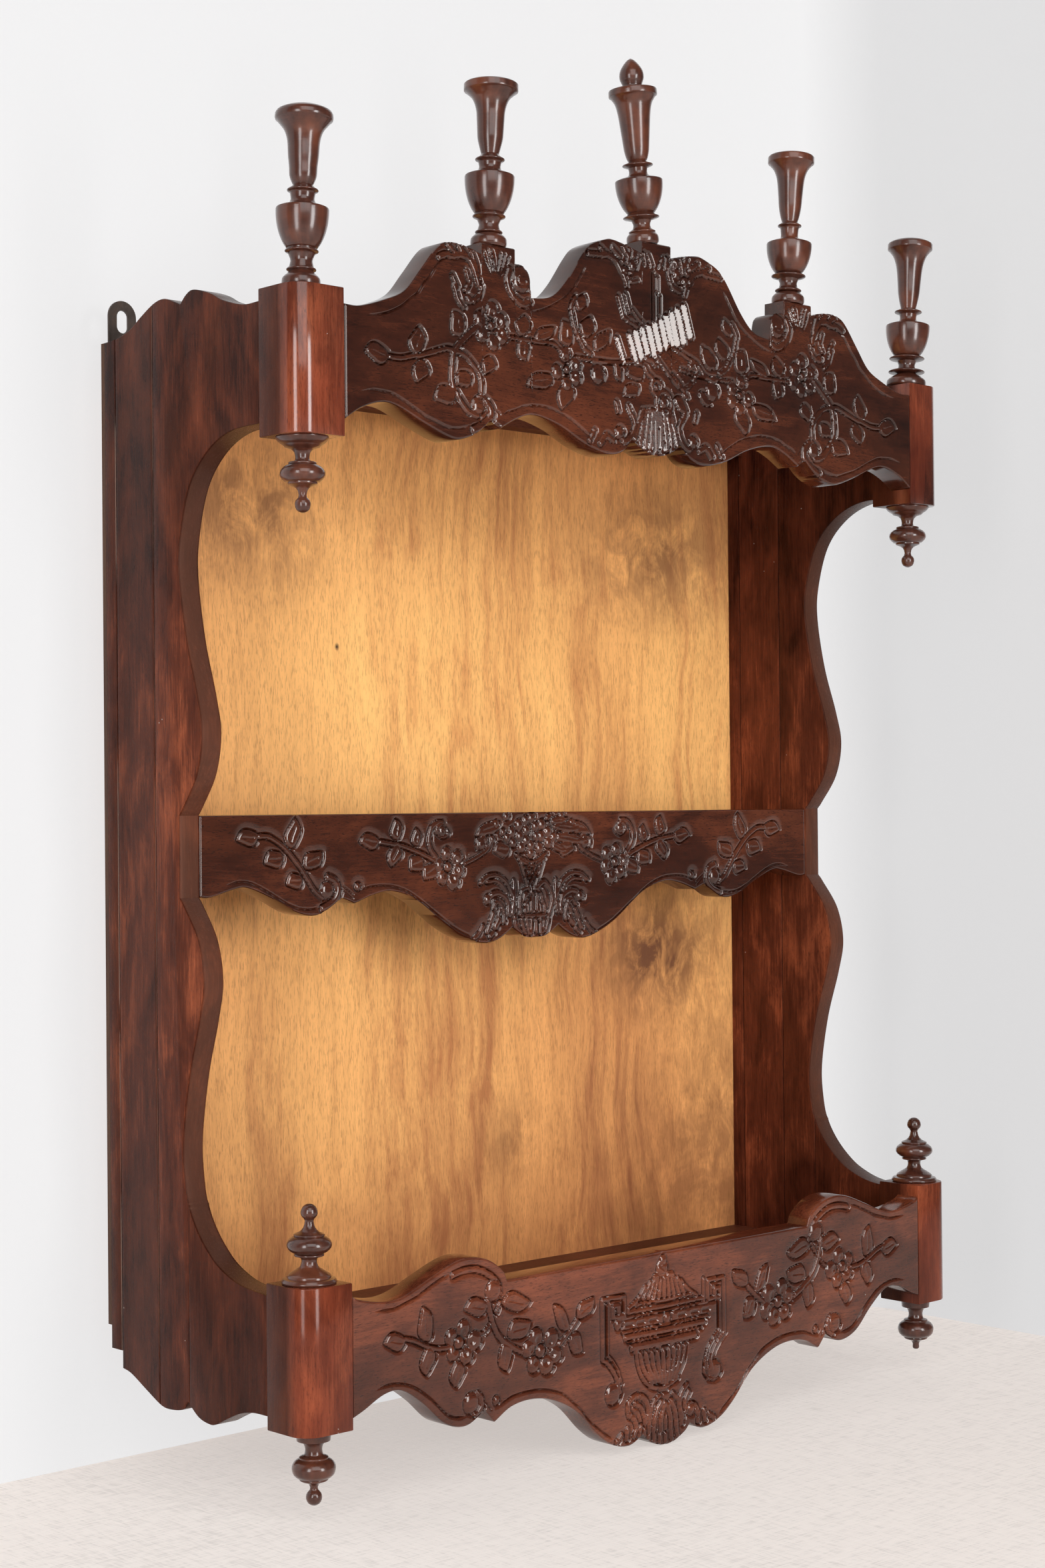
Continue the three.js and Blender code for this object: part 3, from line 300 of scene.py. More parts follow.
MIDDLE_CENTRE_STEMS = [
    (3, [(-22.5, 431.5), (-13, 427), (-3, 425), (6, 427.5), (14, 432)]),
    (2.6, [(-19.5, 427.5), (-11, 423.5), (-3, 421.5), (4, 423.5), (11, 427.5)]),
    (2.2, [(-17, 424), (-11, 408.3), (-7.5, 399.5)]), (2.2, [(9, 424), (3, 409.4), (-1, 399.5)]),
    (1.4, [(-14, 421), (-6, 410), (-3, 404)]), (1.4, [(-9, 421.5), (-1, 409)]),
    (1.4, [(-3, 421), (3, 412)]),
    (1.4, [(6, 421), (-4, 408), (-8, 403)]), (1.4, [(0, 421), (-8, 410)]), (1.4, [(-6, 421), (-12, 412)]),
    (3.2, [(-8, 402), (-16, 399), (-19, 389), (-18, 378.5)]),
    (2.4, [(-9, 391), (-12.5, 387), (-12.5, 380)]),
    (4.6, [(2, 401), (11, 406.5), (19, 400), (21.3, 389.5), (17.5, 378)]),
    (2.6, [(8, 392), (11.5, 386), (12, 379.5)]),
    (2.6, [(4, 400), (8, 395), (9, 388)]), (2.6, [(-5, 394), (-4.5, 381)]), (2.6, [(2, 396), (2.5, 381)]),
    (2.6, [(-19, 377), (0, 376.3), (18, 377)]),
    (4.6, [(-25, 376.5), (-23, 367), (-18, 362)]), (3.6, [(-17, 374), (-14.5, 366), (-12, 361)]),
    (3.2, [(-10.5, 373.5), (-9, 366), (-8, 361)]), (3.2, [(-5, 373), (-5.2, 366), (-5.5, 360)]),
    (4.2, [(0.8, 372), (1.6, 362)]), (3.2, [(6.3, 373), (6.6, 366), (6.4, 360)]),
    (3.2, [(10.8, 374), (10, 366), (9, 361)]), (3.6, [(16, 375), (14.8, 368), (12.5, 362)]),
]

BOTTOM_LEAVES = [
    (-289.5, 60.5, -311.5, 61.5, 14), (-266, 56, -272, 84, 15.5), (-266, 52, -269, 30, 14.5),
    (-203.5, 76, -228.5, 76.5, 15), (-188.5, 76, -157, 72.5, 15.5), (-182, 48, -156.5, 56, 17),
    (-187, 43, -183.5, 20, 15), (-236, 36, -238, 16, 14.5), (-114, 43, -131, 66, 12),
    (-104, 51, -85, 66, 14), (-113, 38, -99, 23, 15),
]
BOTTOM_STEMS = [
    (3.6, [(-290, 61.5), (-281.5, 59), (-272, 54.4), (-262.6, 50.5), (-253.2, 48.5), (-244, 48.5)]),
    (4.6, [(-203.5, 80), (-200.9, 69.7), (-198, 60.3), (-192, 50), (-183.8, 42.6), (-174.4, 36.8),
           (-164, 32)]),
    (2.4, [(-199, 62.6), (-207, 56), (-214, 53)]), (2.8, [(-190.5, 77), (-195, 69)]),
    (4.4, [(-127, 31.5), (-118.8, 37.5), (-112.5, 42.5), (-105, 49.5)]),
    (5, [(-240, 104.5), (-226, 107), (-212, 105), (-199.5, 98.5), (-192, 91), (-190.5, 85)]),
    (5, [(-215, 7), (-211, 2), (-212, -5), (-218, -8.5)]),
]
BOTTOM_BALLS = [(-197, 86.5, 8.6), (-221.5, 0.5, 8.6), (-195, -1.5, 3.6)]
BOTTOM_FLOWERS = [
    (-233.8, 50.3, 4.9, [(-229, 61, 7), (-217.5, 49.7, 7.6), (-226, 38.5, 6.6), (-240, 43, 6.4),
                         (-242, 55.6, 6.6)]),
    (-145.6, 30.3, 5.4, [(-150.5, 42.5, 7.6), (-133, 39, 8), (-129, 25, 7.4), (-139, 18, 7.8),
                         (-153.5, 20.5, 7), (-159, 34, 7)]),
]
BOTTOM_CUTS = [
    (2.8, 2, [(-321, 87.5), (-309.7, 86.8), (-300.3, 87), (-289.7, 89.7), (-279, 92.6), (-269.7, 96.8),
              (-260.3, 100.9), (-251, 104.4), (-241.5, 107)]),
    (2.8, 2, [(-321, 27.2), (-309.7, 28.8), (-300.3, 28.5), (-289.7, 26.2), (-279, 21.5), (-269.7, 15),
              (-260.3, 7.4), (-251, -1.5), (-242.6, -6.8), (-234.4, -8.5), (-226, -8)]),
    (2, 1.8, [(-210.3, 2.6), (-201, -8)]), (1.8, 1.6, [(-210, -7), (-200.3, -17)]),
    (2.8, 2, [(-200.3, -9), (-190.6, -5.5), (-177.5, -1), (-160, 0), (-143.8, -1.3), (-130, -5),
              (-120, -9.4), (-110, -17.5), (-101, -25), (-92.5, -35), (-81, -44), (-68.8, -52.5),
              (-60, -58)]),
]
BOTTOM_CENTRE_STEMS = [
    # Flutes of the lid, the ledges under it, and the lobes of the bowl
    (3.4, [(-18, 69.5), (-27, 57)]), (3.4, [(-13.5, 70.5), (-20.5, 56)]),
    (3.4, [(-9.5, 71), (-14, 55.5)]),
    (3.4, [(-5.5, 71.3), (-7.5, 55.5)]), (3.4, [(-1.2, 71.5), (-1, 55.5)]), (3.4, [(3, 71.3), (5, 55.5)]),
    (3.4, [(7, 71), (11, 55.5)]), (3.4, [(11, 70), (17, 56)]), (4, [(15.5, 68.5), (23, 56)]),
    (3, [(-24, 66.5), (-34, 57), (-45.5, 50.3)]), (3, [(20, 66.5), (28, 58), (39, 51)]),
    (4.4, [(-13, 73), (-3, 74.5), (9, 73)]),
    (2.6, [(-40, 53), (-3, 52.6), (32, 53)]), (3.6, [(-45, 47.4), (0, 47), (46, 47.4)]),
    (2, [(-54, 43.4), (0, 43), (52, 43.4)]), (2.2, [(-52, 31.2), (0, 30.8), (52, 31.2)]),
    (5, [(-48, 26.6), (0, 26.2), (47, 26.6)]), (2, [(-45, 22.4), (0, 22), (44, 22.4)]),
    (6.5, [(-40, 17), (0, 16.6), (36, 17)]),
    (4.6, [(-31, 10), (-27, -3), (-17, -16)]), (4.4, [(-24, 10), (-20.5, -3), (-13, -16)]),
    (4.4, [(-17, 9.5), (-14.5, -3), (-9, -16)]), (4.4, [(-10, 9), (-8.5, -3), (-5.4, -17)]),
    (4.6, [(-3, 8.8), (-2.6, -4), (-2, -17.5)]), (4.6, [(4, 9), (3.4, -4), (1.4, -17)]),
    (4.4, [(10.6, 9.5), (9, -3), (5, -16.5)]), (4.4, [(17, 9.8), (14.6, -3), (8.6, -15)]),
    (4.4, [(23.4, 10), (20, -3), (12.6, -14)]),
    (5, [(-7, -23), (-1, -23)]),
    (3.4, [(-36, 14), (-34, 2), (-29, -9), (-20, -18), (-8, -21.5), (3, -21), (14, -16.5)]),
    # Shell and the leaf scrolls beside it
    (5, [(-6, -34), (-13, -44), (-15.5, -56)]), (5, [(6, -35), (11, -45), (12.5, -57)]),
    (5, [(-2, -36), (-6, -48), (-6.5, -58)]), (5, [(2, -38), (5, -48), (5, -58)]),
    (4, [(-8, -28.5), (-16.5, -34), (-19.5, -43), (-21, -54)]),
    (4, [(8, -28.5), (14.5, -35), (17, -45), (19, -56)]),
    (4, [(-21, -57), (-22, -62)]), (4, [(-15, -60), (-15.5, -66)]), (4, [(-8, -61.5), (-8.5, -67.5)]),
    (4, [(-1, -62), (-1, -68.5)]), (4, [(6, -61.5), (6.5, -67.5)]), (4, [(12.5, -60), (14, -65.5)]),
    (5, [(-46, -36), (-45, -28.5), (-36, -24.5), (-26, -28), (-21.5, -37), (-23, -47)]),
    (4.4, [(-38, -30), (-31, -34), (-27, -42), (-25.5, -49)]),
    (5, [(-45, -39), (-39, -43), (-36, -50), (-39, -57)]), (4.6, [(-47, -50), (-48, -58)]),
    (4.6, [(-54, -54), (-60, -59)]), (4, [(-31, -50), (-33, -58)]),
    (5, [(26, -24.5), (18.5, -31), (16.5, -41), (20, -51)]),
    (4.6, [(28, -30), (23, -38), (24, -45)]), (5, [(24, -47), (29, -42), (36, -44), (39, -51)]),
    (4.6, [(40, -50), (39, -58)]), (4.6, [(47, -50), (48, -58)]), (4.4, [(53, -54), (60, -58)]),
]
BOTTOM_CENTRE_BALLS = [
    (-3, 79.5, 7.4), (-2, 86, 4.6), (-56.5, 39, 4.6), (2.5, 36.6, 4.6), (31, -46, 5.4),
    (-44.5, -38.5, 3.2),
    (-63.5, -18.5, 9), (61, -17, 8.6), (-35, -24.5, 3),
]
BOTTOM_GOUGES = [(-44, 37), (-30, 37), (-15, 37), (20, 37), (36, 37), (50, 37)]
# The tureen's two handles turn square corners, so their points aren't joined by curves.
HANDLE_BARS = [
    (3.6, [(-56, 49), (-56, 54.6), (-62.6, 54.6), (-62.6, 45.6), (-49.4, 45.6), (-49.4, 62), (-75.4, 62),
           (-75.4, 12)]),
    (3.6, [(-75.4, 12), (-70, 9), (-63, 1), (-58, -8), (-55.4, -18)]),
    (2.4, [(-69.8, 57), (-69.8, 15), (-64, 10), (-57.6, 1), (-54, -10)]),
    (3.6, [(61.6, 48), (61.6, 53.4), (68, 53.4), (68, 45.4), (53, 45.4), (53, 61.6), (73.4, 61.6),
           (73.4, 14)]),
    (3.6, [(73.4, 14), (66, 8), (59, 0), (55.4, -8), (57.6, -16)]),
    (2.4, [(66.4, 42), (66.4, 17), (59, 11), (52, 3), (48, -7), (47, -17), (52, -23), (60, -25)]),
    (3, [(47.4, 64), (47.4, 45)]),
]


def smooth(points, per=6):
    """A Catmull-Rom curve through the points, as an array."""
    p = np.array(points, float)
    if len(p) < 3:
        return p
    ends = np.vstack([2 * p[0] - p[1], p, 2 * p[-1] - p[-2]])
    t = np.linspace(0, 1, per, endpoint=False)[:, None]
    runs = []
    for a, b, c, d in zip(ends, ends[1:], ends[2:], ends[3:]):
        squares, cubes = 2 * a - 5 * b + 4 * c - d, 3 * b - a - 3 * c + d
        runs.append(0.5 * (2 * b + (c - a) * t + squares * t**2 + cubes * t**3))
    return np.vstack(runs + [p[-1:]])


def curve(runs, per=6):
    """Smooth runs joined at their corners."""
    parts = [smooth(run, per) for run in runs]
    return np.vstack(parts[:1] + [part[1:] for part in parts[1:]])


def distances(x, h, path):
    """Distance of each point to a path, and how far along the path the nearest place is."""
    a, d = path[:-1], np.diff(path, axis=0)
    length = np.maximum((d**2).sum(1), 1e-9)
    t = ((x[:, None] - a[:, 0]) * d[:, 0] + (h[:, None] - a[:, 1]) * d[:, 1]) / length
    t = np.clip(t, 0, 1)
    gap = (x[:, None] - a[:, 0] - t * d[:, 0]) ** 2 + (h[:, None] - a[:, 1] - t * d[:, 1]) ** 2
    k = gap.argmin(1)
    rows = np.arange(len(k))
    return np.sqrt(gap[rows, k]), (k + t[rows, k]) / len(a)


def within(x, h, ring):
    """Whether each point lies inside a closed ring."""
    a, b = ring, np.roll(ring, -1, axis=0)
    crosses = (a[:, 1] > h[:, None]) != (b[:, 1] > h[:, None])
    slope = (b[:, 0] - a[:, 0]) / np.where(np.abs(b[:, 1] - a[:, 1]) < 1e-9, 1e-9, b[:, 1] - a[:, 1])
    left = x[:, None] < a[:, 0] + (h[:, None] - a[:, 1]) * slope
    return (crosses & left).sum(1) % 2 == 1


class Carving:
    """Depth below a rail's front face, gathered motif by motif."""

    # The ground falls this share of its depth close to a motif, and the rest more softly.
    STEEP = 0.8
    # How far a motif's face falls at its outline, as a share of the width of its rounding.
    DOME = 0.36
    LEAF_ROUNDING = 2.8
    BALL_ROUNDING = 5.5

    def __init__(self, x, h, depth, ground):
        self.x, self.h = x, h
        self.depth, self.ground = depth, ground
        self.field = np.zeros(len(x))
        self.motif = np.zeros(len(x))
        self.is_motif = np.zeros(len(x), bool)
        self.cut = np.zeros(len(x))

    def near(self, points, reach, flip):
        """The points near a motif, with their places in the half where it is listed."""
        reach = reach + 2 * self.ground
        low, high = points.min(0) - reach, points.max(0) + reach
        x = self.x * flip
        pick = (x > low[0]) & (x < high[0]) & (self.h > low[1]) & (self.h < high[1])
        pick = np.nonzero(pick)[0]
        return pick, x[pick], self.h[pick]

    def raise_up(self, pick, inside, roundness):
        """Rounds a motif up out of the ground; inside is the distance in from its outline."""
        cut = np.clip(1 + inside / self.ground, 0, 1)
        soft = np.clip(1 + inside / (3 * self.ground), 0, 1)
        ground = self.depth * (self.STEEP * cut**1.5 + (1 - self.STEEP) * soft**1.5) * (inside <= 0)
        self.field[pick] = np.maximum(self.field[pick], ground)
        body = inside > 0
        rise = 1 - np.clip(inside / roundness, 0, 1)
        self.motif[pick[body]] = (self.DOME * roundness * rise**2)[body]
        self.is_motif[pick[body]] = True

    def stem(self, points, width, flip=1, square=False):
        """A rounded bar along a line, which is smoothed unless it is square."""
        path = np.array(points, float) if square else smooth(points)
        pick, x, h = self.near(path, width / 2 + self.ground, flip)
        if len(pick):
            gap, _ = distances(x, h, path)
            self.raise_up(pick, width / 2 - gap, width / 2)

    def pipe(self, width, top, foot, slope=0.4):
        """A bar whose face slopes down to the left, with a steep cut round it."""
        path = np.array([top, foot], float)
        pick, x, h = self.near(path, width, 1)
        gap, _ = distances(x, h, path)
        inside = width / 2 - gap
        self.raise_up(pick, inside, width / 2)
        along = (path[1] - path[0]) / math.dist(top, foot)
        offset = (h - path[0][1]) * along[0] - (x - path[0][0]) * along[1]
        body = inside > 0
        self.motif[pick[body]] = (slope * np.clip(width / 2 - offset, 0, width))[body]

    def ball(self, x0, h0, radius, flip=1):
        """A dome."""
        pick, x, h = self.near(np.array([[x0, h0]], float), radius + self.ground, flip)
        gap = np.hypot(x - x0, h - h0)
        self.raise_up(pick, radius - gap, min(radius, self.BALL_ROUNDING))

    def ring(self, x0, h0, radius, width):
        """A rounded ring."""
        pick, x, h = self.near(np.array([[x0, h0]], float), radius + width + self.ground, 1)
        gap = np.abs(np.hypot(x - x0, h - h0) - radius)
        self.raise_up(pick, width / 2 - gap, width / 2)

    def leaf(self, x0, h0, x1, h1, width, flip):
        """A pointed leaf with a slight bend and a vein along its middle."""
        base, tip = np.array([x0, h0], float), np.array([x1, h1], float)
        along = tip - base
        across = np.array([-along[1], along[0]]) / np.hypot(*along)
        t = np.linspace(0, 1, 15)
        half = width / 2 * np.sin(np.pi * t**0.85) ** 0.72
        bend = 0.08 * width * np.sin(2 * np.pi * t)
        middle = base + along * t[:, None] + across * bend[:, None]
        ring = np.vstack([middle + across * half[:, None], (middle - across * half[:, None])[-2:0:-1]])
        pick, x, h = self.near(ring, self.ground, flip)
        if not len(pick):
            return
        gap, _ = distances(x, h, np.vstack([ring, ring[:1]]))
        inside = np.where(within(x, h, ring), gap, -gap)
        self.raise_up(pick, inside, self.LEAF_ROUNDING)
        vein, _ = distances(x, h, middle[3:11])
        self.cut[pick] = np.maximum(self.cut[pick], 0.7 * np.clip(1 - vein / 0.9, 0, 1) * (inside > 1))

    def flower(self, x0, h0, button, petals, flip):
        """Cupped petals round a button with a groove about it."""
        for x1, h1, radius in petals:
            self.ball(x1, h1, radius, flip)
            pick, x, h = self.near(np.array([[x1, h1]], float), radius, flip)
            inner = np.hypot(x - x1 * 0.72 - x0 * 0.28, h - h1 * 0.72 - h0 * 0.28)
            cup = 1.5 * np.clip(1 - (inner / (radius * 0.62)) ** 2, 0, 1)
            self.cut[pick] = np.maximum(self.cut[pick], cup)
        self.ball(x0, h0, button, flip)
        pick, x, h = self.near(np.array([[x0, h0]], float), button + 3, flip)
        gap = np.hypot(x - x0, h - h0)
        self.cut[pick] = np.where(gap < button, 0, self.cut[pick])
        ring = self.depth * 1.15 * np.clip(1 - np.abs(gap - button - 0.6) / 1.3, 0, 1)
        self.cut[pick] = np.maximum(self.cut[pick], ring)

    def groove(self, points, width, depth, flip=1, taper=True):
        """A cut along a line, which may taper towards its ends."""
        path = smooth(points)
        pick, x, h = self.near(path, width, flip)
        if not len(pick):
            return
        gap, along = distances(x, h, path)
        ends = np.clip(np.minimum(along, 1 - along) * 8 + 0.15, 0, 1) if taper else 1
        cut = depth * ends * np.clip(1.15 - gap / (width / 2 * ends), 0, 1)
        self.cut[pick] = np.maximum(self.cut[pick], cut)

    def total(self):
        """Depth of the carved face at each point."""
        return np.maximum(np.where(self.is_motif, self.motif, self.field), self.cut)

    def hollow(self):
        """How deep in a cut each point lies, leaving out the rounded flanks of the motifs; the finish
        paints shade in the cuts by it.
        """
        return np.clip(np.maximum(np.where(self.is_motif, 0, self.field), self.cut) / self.depth, 0, 1)


def carve_motifs(carving, leaves, stems, balls, flowers, cuts, flip=1):
    """Carves one half's motifs; a flip of -1 puts them on the right."""
    for width, points in stems:
        carving.stem(points, width, flip)
    for leaf in leaves:
        carving.leaf(*leaf, flip)
    for flower in flowers:
        carving.flower(*flower, flip)
    for ball in balls:
        carving.ball(*ball, flip)
    for width, depth, points in cuts:
        carving.groove(points, width, depth, flip)


def carve_crest(carving):
    """The crest's sprays, ribbon scrolls, pan pipe, net and fan."""
    for flip in (1, -1):
        carve_motifs(carving, CREST_LEAVES, CREST_STEMS, CREST_BALLS, CREST_FLOWERS, CREST_CUTS, flip)
    for x0, h0, radius in CREST_CENTRE_RINGS:
        carving.ring(x0, h0, radius, 3.4)
    carve_motifs(carving, CREST_CENTRE_LEAVES, CREST_CENTRE_STEMS, CREST_CENTRE_BALLS, [], [])
    for width, points in PIPES:
        carving.pipe(width, *points)
    for ends in NET_CUTS:
        carving.groove(ends, 1.5, 1.1, taper=False)
    for k in range(FAN_RAYS):
        part = k / (FAN_RAYS - 1)
        bow = math.sin(math.pi * part)
        top = (-18 + 35 * part, 811 + 2 * bow)
        foot = (-28 + 54 * part, 784 - 5 * bow)
        carving.pipe(4.4, top, foot, 0.3)
        if k % 2:
            carving.ball(foot[0], foot[1] - 3, 3)


def carve_middle(carving):
    """The middle rail's sprays and its basket of flowers."""
    for flip in (1, -1):
        carve_motifs(carving, MIDDLE_LEAVES, MIDDLE_STEMS, MIDDLE_BALLS, MIDDLE_FLOWERS, MIDDLE_CUTS, flip)
    carve_motifs(carving, MIDDLE_CENTRE_LEAVES, MIDDLE_CENTRE_STEMS, MIDDLE_BLOOMS, [], [])


def carve_bottom(carving):
    """The bottom rail's sprays and its tureen."""
    for flip in (1, -1):
        carve_motifs(carving, BOTTOM_LEAVES, BOTTOM_STEMS, BOTTOM_BALLS, BOTTOM_FLOWERS, BOTTOM_CUTS, flip)
    carve_motifs(carving, [], BOTTOM_CENTRE_STEMS, BOTTOM_CENTRE_BALLS, [], [])
    for width, points in HANDLE_BARS:
        carving.stem(points, width, square=True)
    for x0, h0 in BOTTOM_GOUGES:
        carving.groove([(x0 - 6, h0), (x0, h0), (x0 + 6, h0)], 5.5, 1.6)
    carving.groove([(-9, 84), (-4, 80), (1, 76)], 2, 1.6)


# Building the meshes. A turned piece is spun in this many steps.
SPIN_STEPS = 64


def put_piece(bm, name, nodes, material, sharp=35.0, tidy=True):
    """Turns a bmesh in metres into a finished piece of the rack that stands for CAD nodes."""
    if tidy:
        bmesh.ops.remove_doubles(bm, verts=bm.verts, dist=0.00002)
        bmesh.ops.recalc_face_normals(bm, faces=bm.faces)
    mesh = bpy.data.meshes.new(name)
    bm.to_mesh(mesh)
    bm.free()
    mesh.polygons.foreach_set("use_smooth", [True] * len(mesh.polygons))
    mesh.set_sharp_from_angle(angle=math.radians(sharp))
    mesh.materials.append(material)
    piece = bpy.data.objects.new(name, mesh)
    bpy.context.scene.collection.objects.link(piece)
    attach(piece, "root")
    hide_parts(*nodes)
    return piece


def round_edges(bm, edges, radius, segments, **choices):
    """Rounds edges; Blender's other choices for a bevel can be added."""
    bmesh.ops.bevel(
        bm, geom=edges, affect="EDGES", offset=radius, segments=segments, profile=0.5, material=-1,
        **choices,
    )


def give_number(mesh, name, values):
    """Stores one number for each vertex, for a material to read."""
    layer = mesh.attributes.new(name, "FLOAT", "POINT")
    layer.data.foreach_set("value", np.asarray(values, np.float32))


def rail_columns(half, steps, count):
    """Places of a rail's columns, with a close pair at each step of its outline."""
    clear, close = 0.45, 0.12
    xs = list(np.linspace(-half, half, count))
    for step in steps:
        xs = [x for x in xs if abs(x - step) > clear]
        xs += [step - close, step + close]
    return np.array(sorted(xs))


def mirrored(line):
    """A line given for the right half, in order of x over both halves."""
    line = np.array(sorted(map(tuple, line)), float)
    left = line[::-1] * (-1, 1)
    return np.vstack([left, line])


def carved_rail(name, front, columns, rows, top, bottom, carve, sizes, material):
    """A board whose front is carved: a fine grid drawn between the outlines and sunk by the motifs."""
    count = len(columns)
    bm = bmesh.new()
    bmesh.ops.create_grid(bm, x_segments=count - 1, y_segments=rows - 1, size=0.5)
    bm.verts.ensure_lookup_table()
    flat = np.array([v.co[:2] for v in bm.verts])
    i = np.rint((flat[:, 0] + 0.5) * (count - 1)).astype(int)
    share = flat[:, 1] + 0.5
    x = columns[i]
    high = np.interp(x, top[:, 0], top[:, 1])
    low = np.interp(x, bottom[:, 0], bottom[:, 1])
    h = low + (high - low) * share
    carving = Carving(x, h, sizes.carving_depth / MM, sizes.ground_width / MM)
    carve(carving)
    sink = carving.total()
    rim = [v.is_boundary for v in bm.verts]
    edge_places = [(x[k], h[k]) for k in np.nonzero(rim)[0]]
    tree = KDTree(len(edge_places))
    for k, (a, b) in enumerate(edge_places):
        tree.insert((a, b, 0), k)
    tree.balance()
    gap = np.array([tree.find((a, b, 0))[2] for a, b in zip(x, h)])
    arris = sizes.arris / MM
    gap = np.clip(gap, 0, arris)
    sink = np.maximum(sink, arris * (1 - np.sqrt(np.clip(1 - (1 - gap / arris) ** 2, 0, 1))))
    for v, a, b, s in zip(bm.verts, x, h, sink):
        v.co = (a * MM, (front + s) * MM, (b - FOOT) * MM)
    edges = [e for e in bm.edges if e.is_boundary]
    for e in edges:
        e.smooth = False
    walls = bmesh.ops.extrude_edge_only(bm, edges=edges)["geom"]
    back = [g for g in walls if isinstance(g, bmesh.types.BMVert)]
    for v in back:
        v.co.y = (front + RAIL_THICKNESS) * MM
    rim_edges = [g for g in walls if isinstance(g, bmesh.types.BMEdge) and g.is_boundary]
    bmesh.ops.contextual_create(bm, geom=rim_edges)
    bmesh.ops.recalc_face_normals(bm, faces=bm.faces)
    total = len(bm.verts)
    piece = put_piece(bm, name + "_carved", [name], material, sharp=60, tidy=False)
    # The depth of the cuts, by which the carved rails' finish paints shade in them.
    hollow = np.zeros(total)
    hollow[: len(sink)] = carving.hollow()
    give_number(piece.data, "hollow", hollow)


def side_board(outline, arris, flip):
    """A flat board whose outline lies in the plane of depth and height, bevelled all round."""
    bm = bmesh.new()
    verts = [bm.verts.new((SIDE_INNER * flip * MM, y * MM, (h - FOOT) * MM)) for y, h in outline]
    face = bm.faces.new(verts)
    grown = bmesh.ops.extrude_face_region(bm, geom=[face])["geom"]
    moved = [g for g in grown if isinstance(g, bmesh.types.BMVert)]
    bmesh.ops.translate(bm, verts=moved, vec=((SIDE_OUTER - SIDE_INNER) * flip * MM, 0, 0))
    bmesh.ops.recalc_face_normals(bm, faces=bm.faces)
    rims = [e for e in bm.edges if abs(e.verts[0].co.x - e.verts[1].co.x) < 1e-7]
    round_edges(bm, rims, arris, segments=3, clamp_overlap=True)
    return bm


def clip_line(line, low, high):
    """The stretch of a line between two depths, with its ends cut exactly."""
    order = line if line[0][0] < line[-1][0] else line[::-1]
    inner = [tuple(p) for p in order if low < p[0] < high]
    ends = [(y, float(np.interp(y, order[:, 0], order[:, 1]))) for y in (low, high)]
    return ends[:1] + inner + ends[1:]


def turned_piece(name, runs, seat, lean, upward=1):
    """Runs of (radius, height) in mm, spun about an upright axis at the seat and leant by an angle."""
    profile = curve(runs, 4)
    bm = bmesh.new()
    verts = [bm.verts.new((max(r, 0) * MM, 0, upward * h * MM)) for r, h in profile]
    edges = [bm.edges.new(pair) for pair in zip(verts, verts[1:])]
    bmesh.ops.spin(
        bm, geom=verts + edges, cent=(0, 0, 0), axis=(0, 0, 1), angle=2 * math.pi, steps=SPIN_STEPS,
        use_merge=True,
    )
    bmesh.ops.remove_doubles(bm, verts=bm.verts, dist=0.00005)
    open_rims = [e for e in bm.edges if e.is_boundary]
    if open_rims:
        bmesh.ops.holes_fill(bm, edges=open_rims)
    bmesh.ops.recalc_face_normals(bm, faces=bm.faces)
    bmesh.ops.transform(bm, matrix=Matrix.Rotation(lean, 4, "Y"), verts=bm.verts)
    bmesh.ops.translate(bm, verts=bm.verts, vec=Vector(seat) * MM)
    colours = bpy.context.scene.rack_colours
    material = bpy.data.materials.get("turned_walnut_polish") or turned_look(colours)
    put_piece(bm, name + "_turned", [name], material, sharp=42)


# Profiles of the turned pieces.
URN_STEPS = 8
BEAD_HALF = 1.3
BEAD_ROOT = 0.86


def bead(radius, height):
    """A narrow ring; the height is its middle's."""
    root, shoulder = radius * BEAD_ROOT, BEAD_HALF * 0.4
    return [
        (root, height - BEAD_HALF), (radius, height - shoulder), (radius, height + shoulder),
        (root, height + BEAD_HALF),
    ]


def finial_runs(base, low_bead, waist, high_bead, urn, neck, collar, trumpet, rim, cap):
    """The tall finials share one scheme and differ in their measures; a bead is (radius, height)."""
    radius, bottom, top = urn
    # The urn follows an ellipse that is widest just under its rim.
    swell = []
    for k in range(URN_STEPS + 1):
        s = k / URN_STEPS
        wide = math.sqrt(1 - ((0.78 - 0.8 * s) / 0.96) ** 2)
        swell.append((radius * wide, bottom + (top - bottom) * s))
    lower, upper, last = bead(*low_bead), bead(*high_bead), bead(*collar)
    low, high = low_bead[1], high_bead[1]
    return [
        [(0, 0), (base * 0.9, 0)],
        [(base * 0.9, 0), (base, 2), (base, 6), (base * 0.93, 8), (base * 0.78, 10),
         (waist * 1.1, low - 1.5)],
        lower,
        [lower[-1], (waist * 1.08, low + 3)],
        [(waist * 1.08, low + 3), (waist, (low + high) / 2), (waist * 1.18, high - 2.6)],
        upper,
        [upper[-1], (swell[0][0] * 0.93, bottom - 0.3)],
        swell,
        [swell[-1], (radius * 0.985, top + 0.7)],
        [(radius * 0.985, top + 0.7), (radius * 0.82, top + 2.1)],
        [(radius * 0.82, top + 2.1), (radius * 0.6, top + 2.6)],
        [(radius * 0.6, top + 2.6), (neck * 1.12, top + 5), (neck, top + 8),
         (neck * 1.06, collar[1] - 2.4)],
        last,
        [last[-1], (neck * 0.92, collar[1] + 3.2)],
        trumpet,
        rim,
        cap,
    ]


def joined(runs):
    """Makes each run start where the one before ends."""
    linked = [runs[0]]
    for run in runs[1:]:
        last = linked[-1][-1]
        if math.dist(last, run[0]) > 1e-6:
            linked.append([last, run[0]])
        linked.append(run)
    return linked


CREST_SEAT_X = (CREST_PLINTH[0] + CREST_PLINTH[1]) / 2
CREST_SEAT_Z = CREST_PLINTH[2] - FOOT
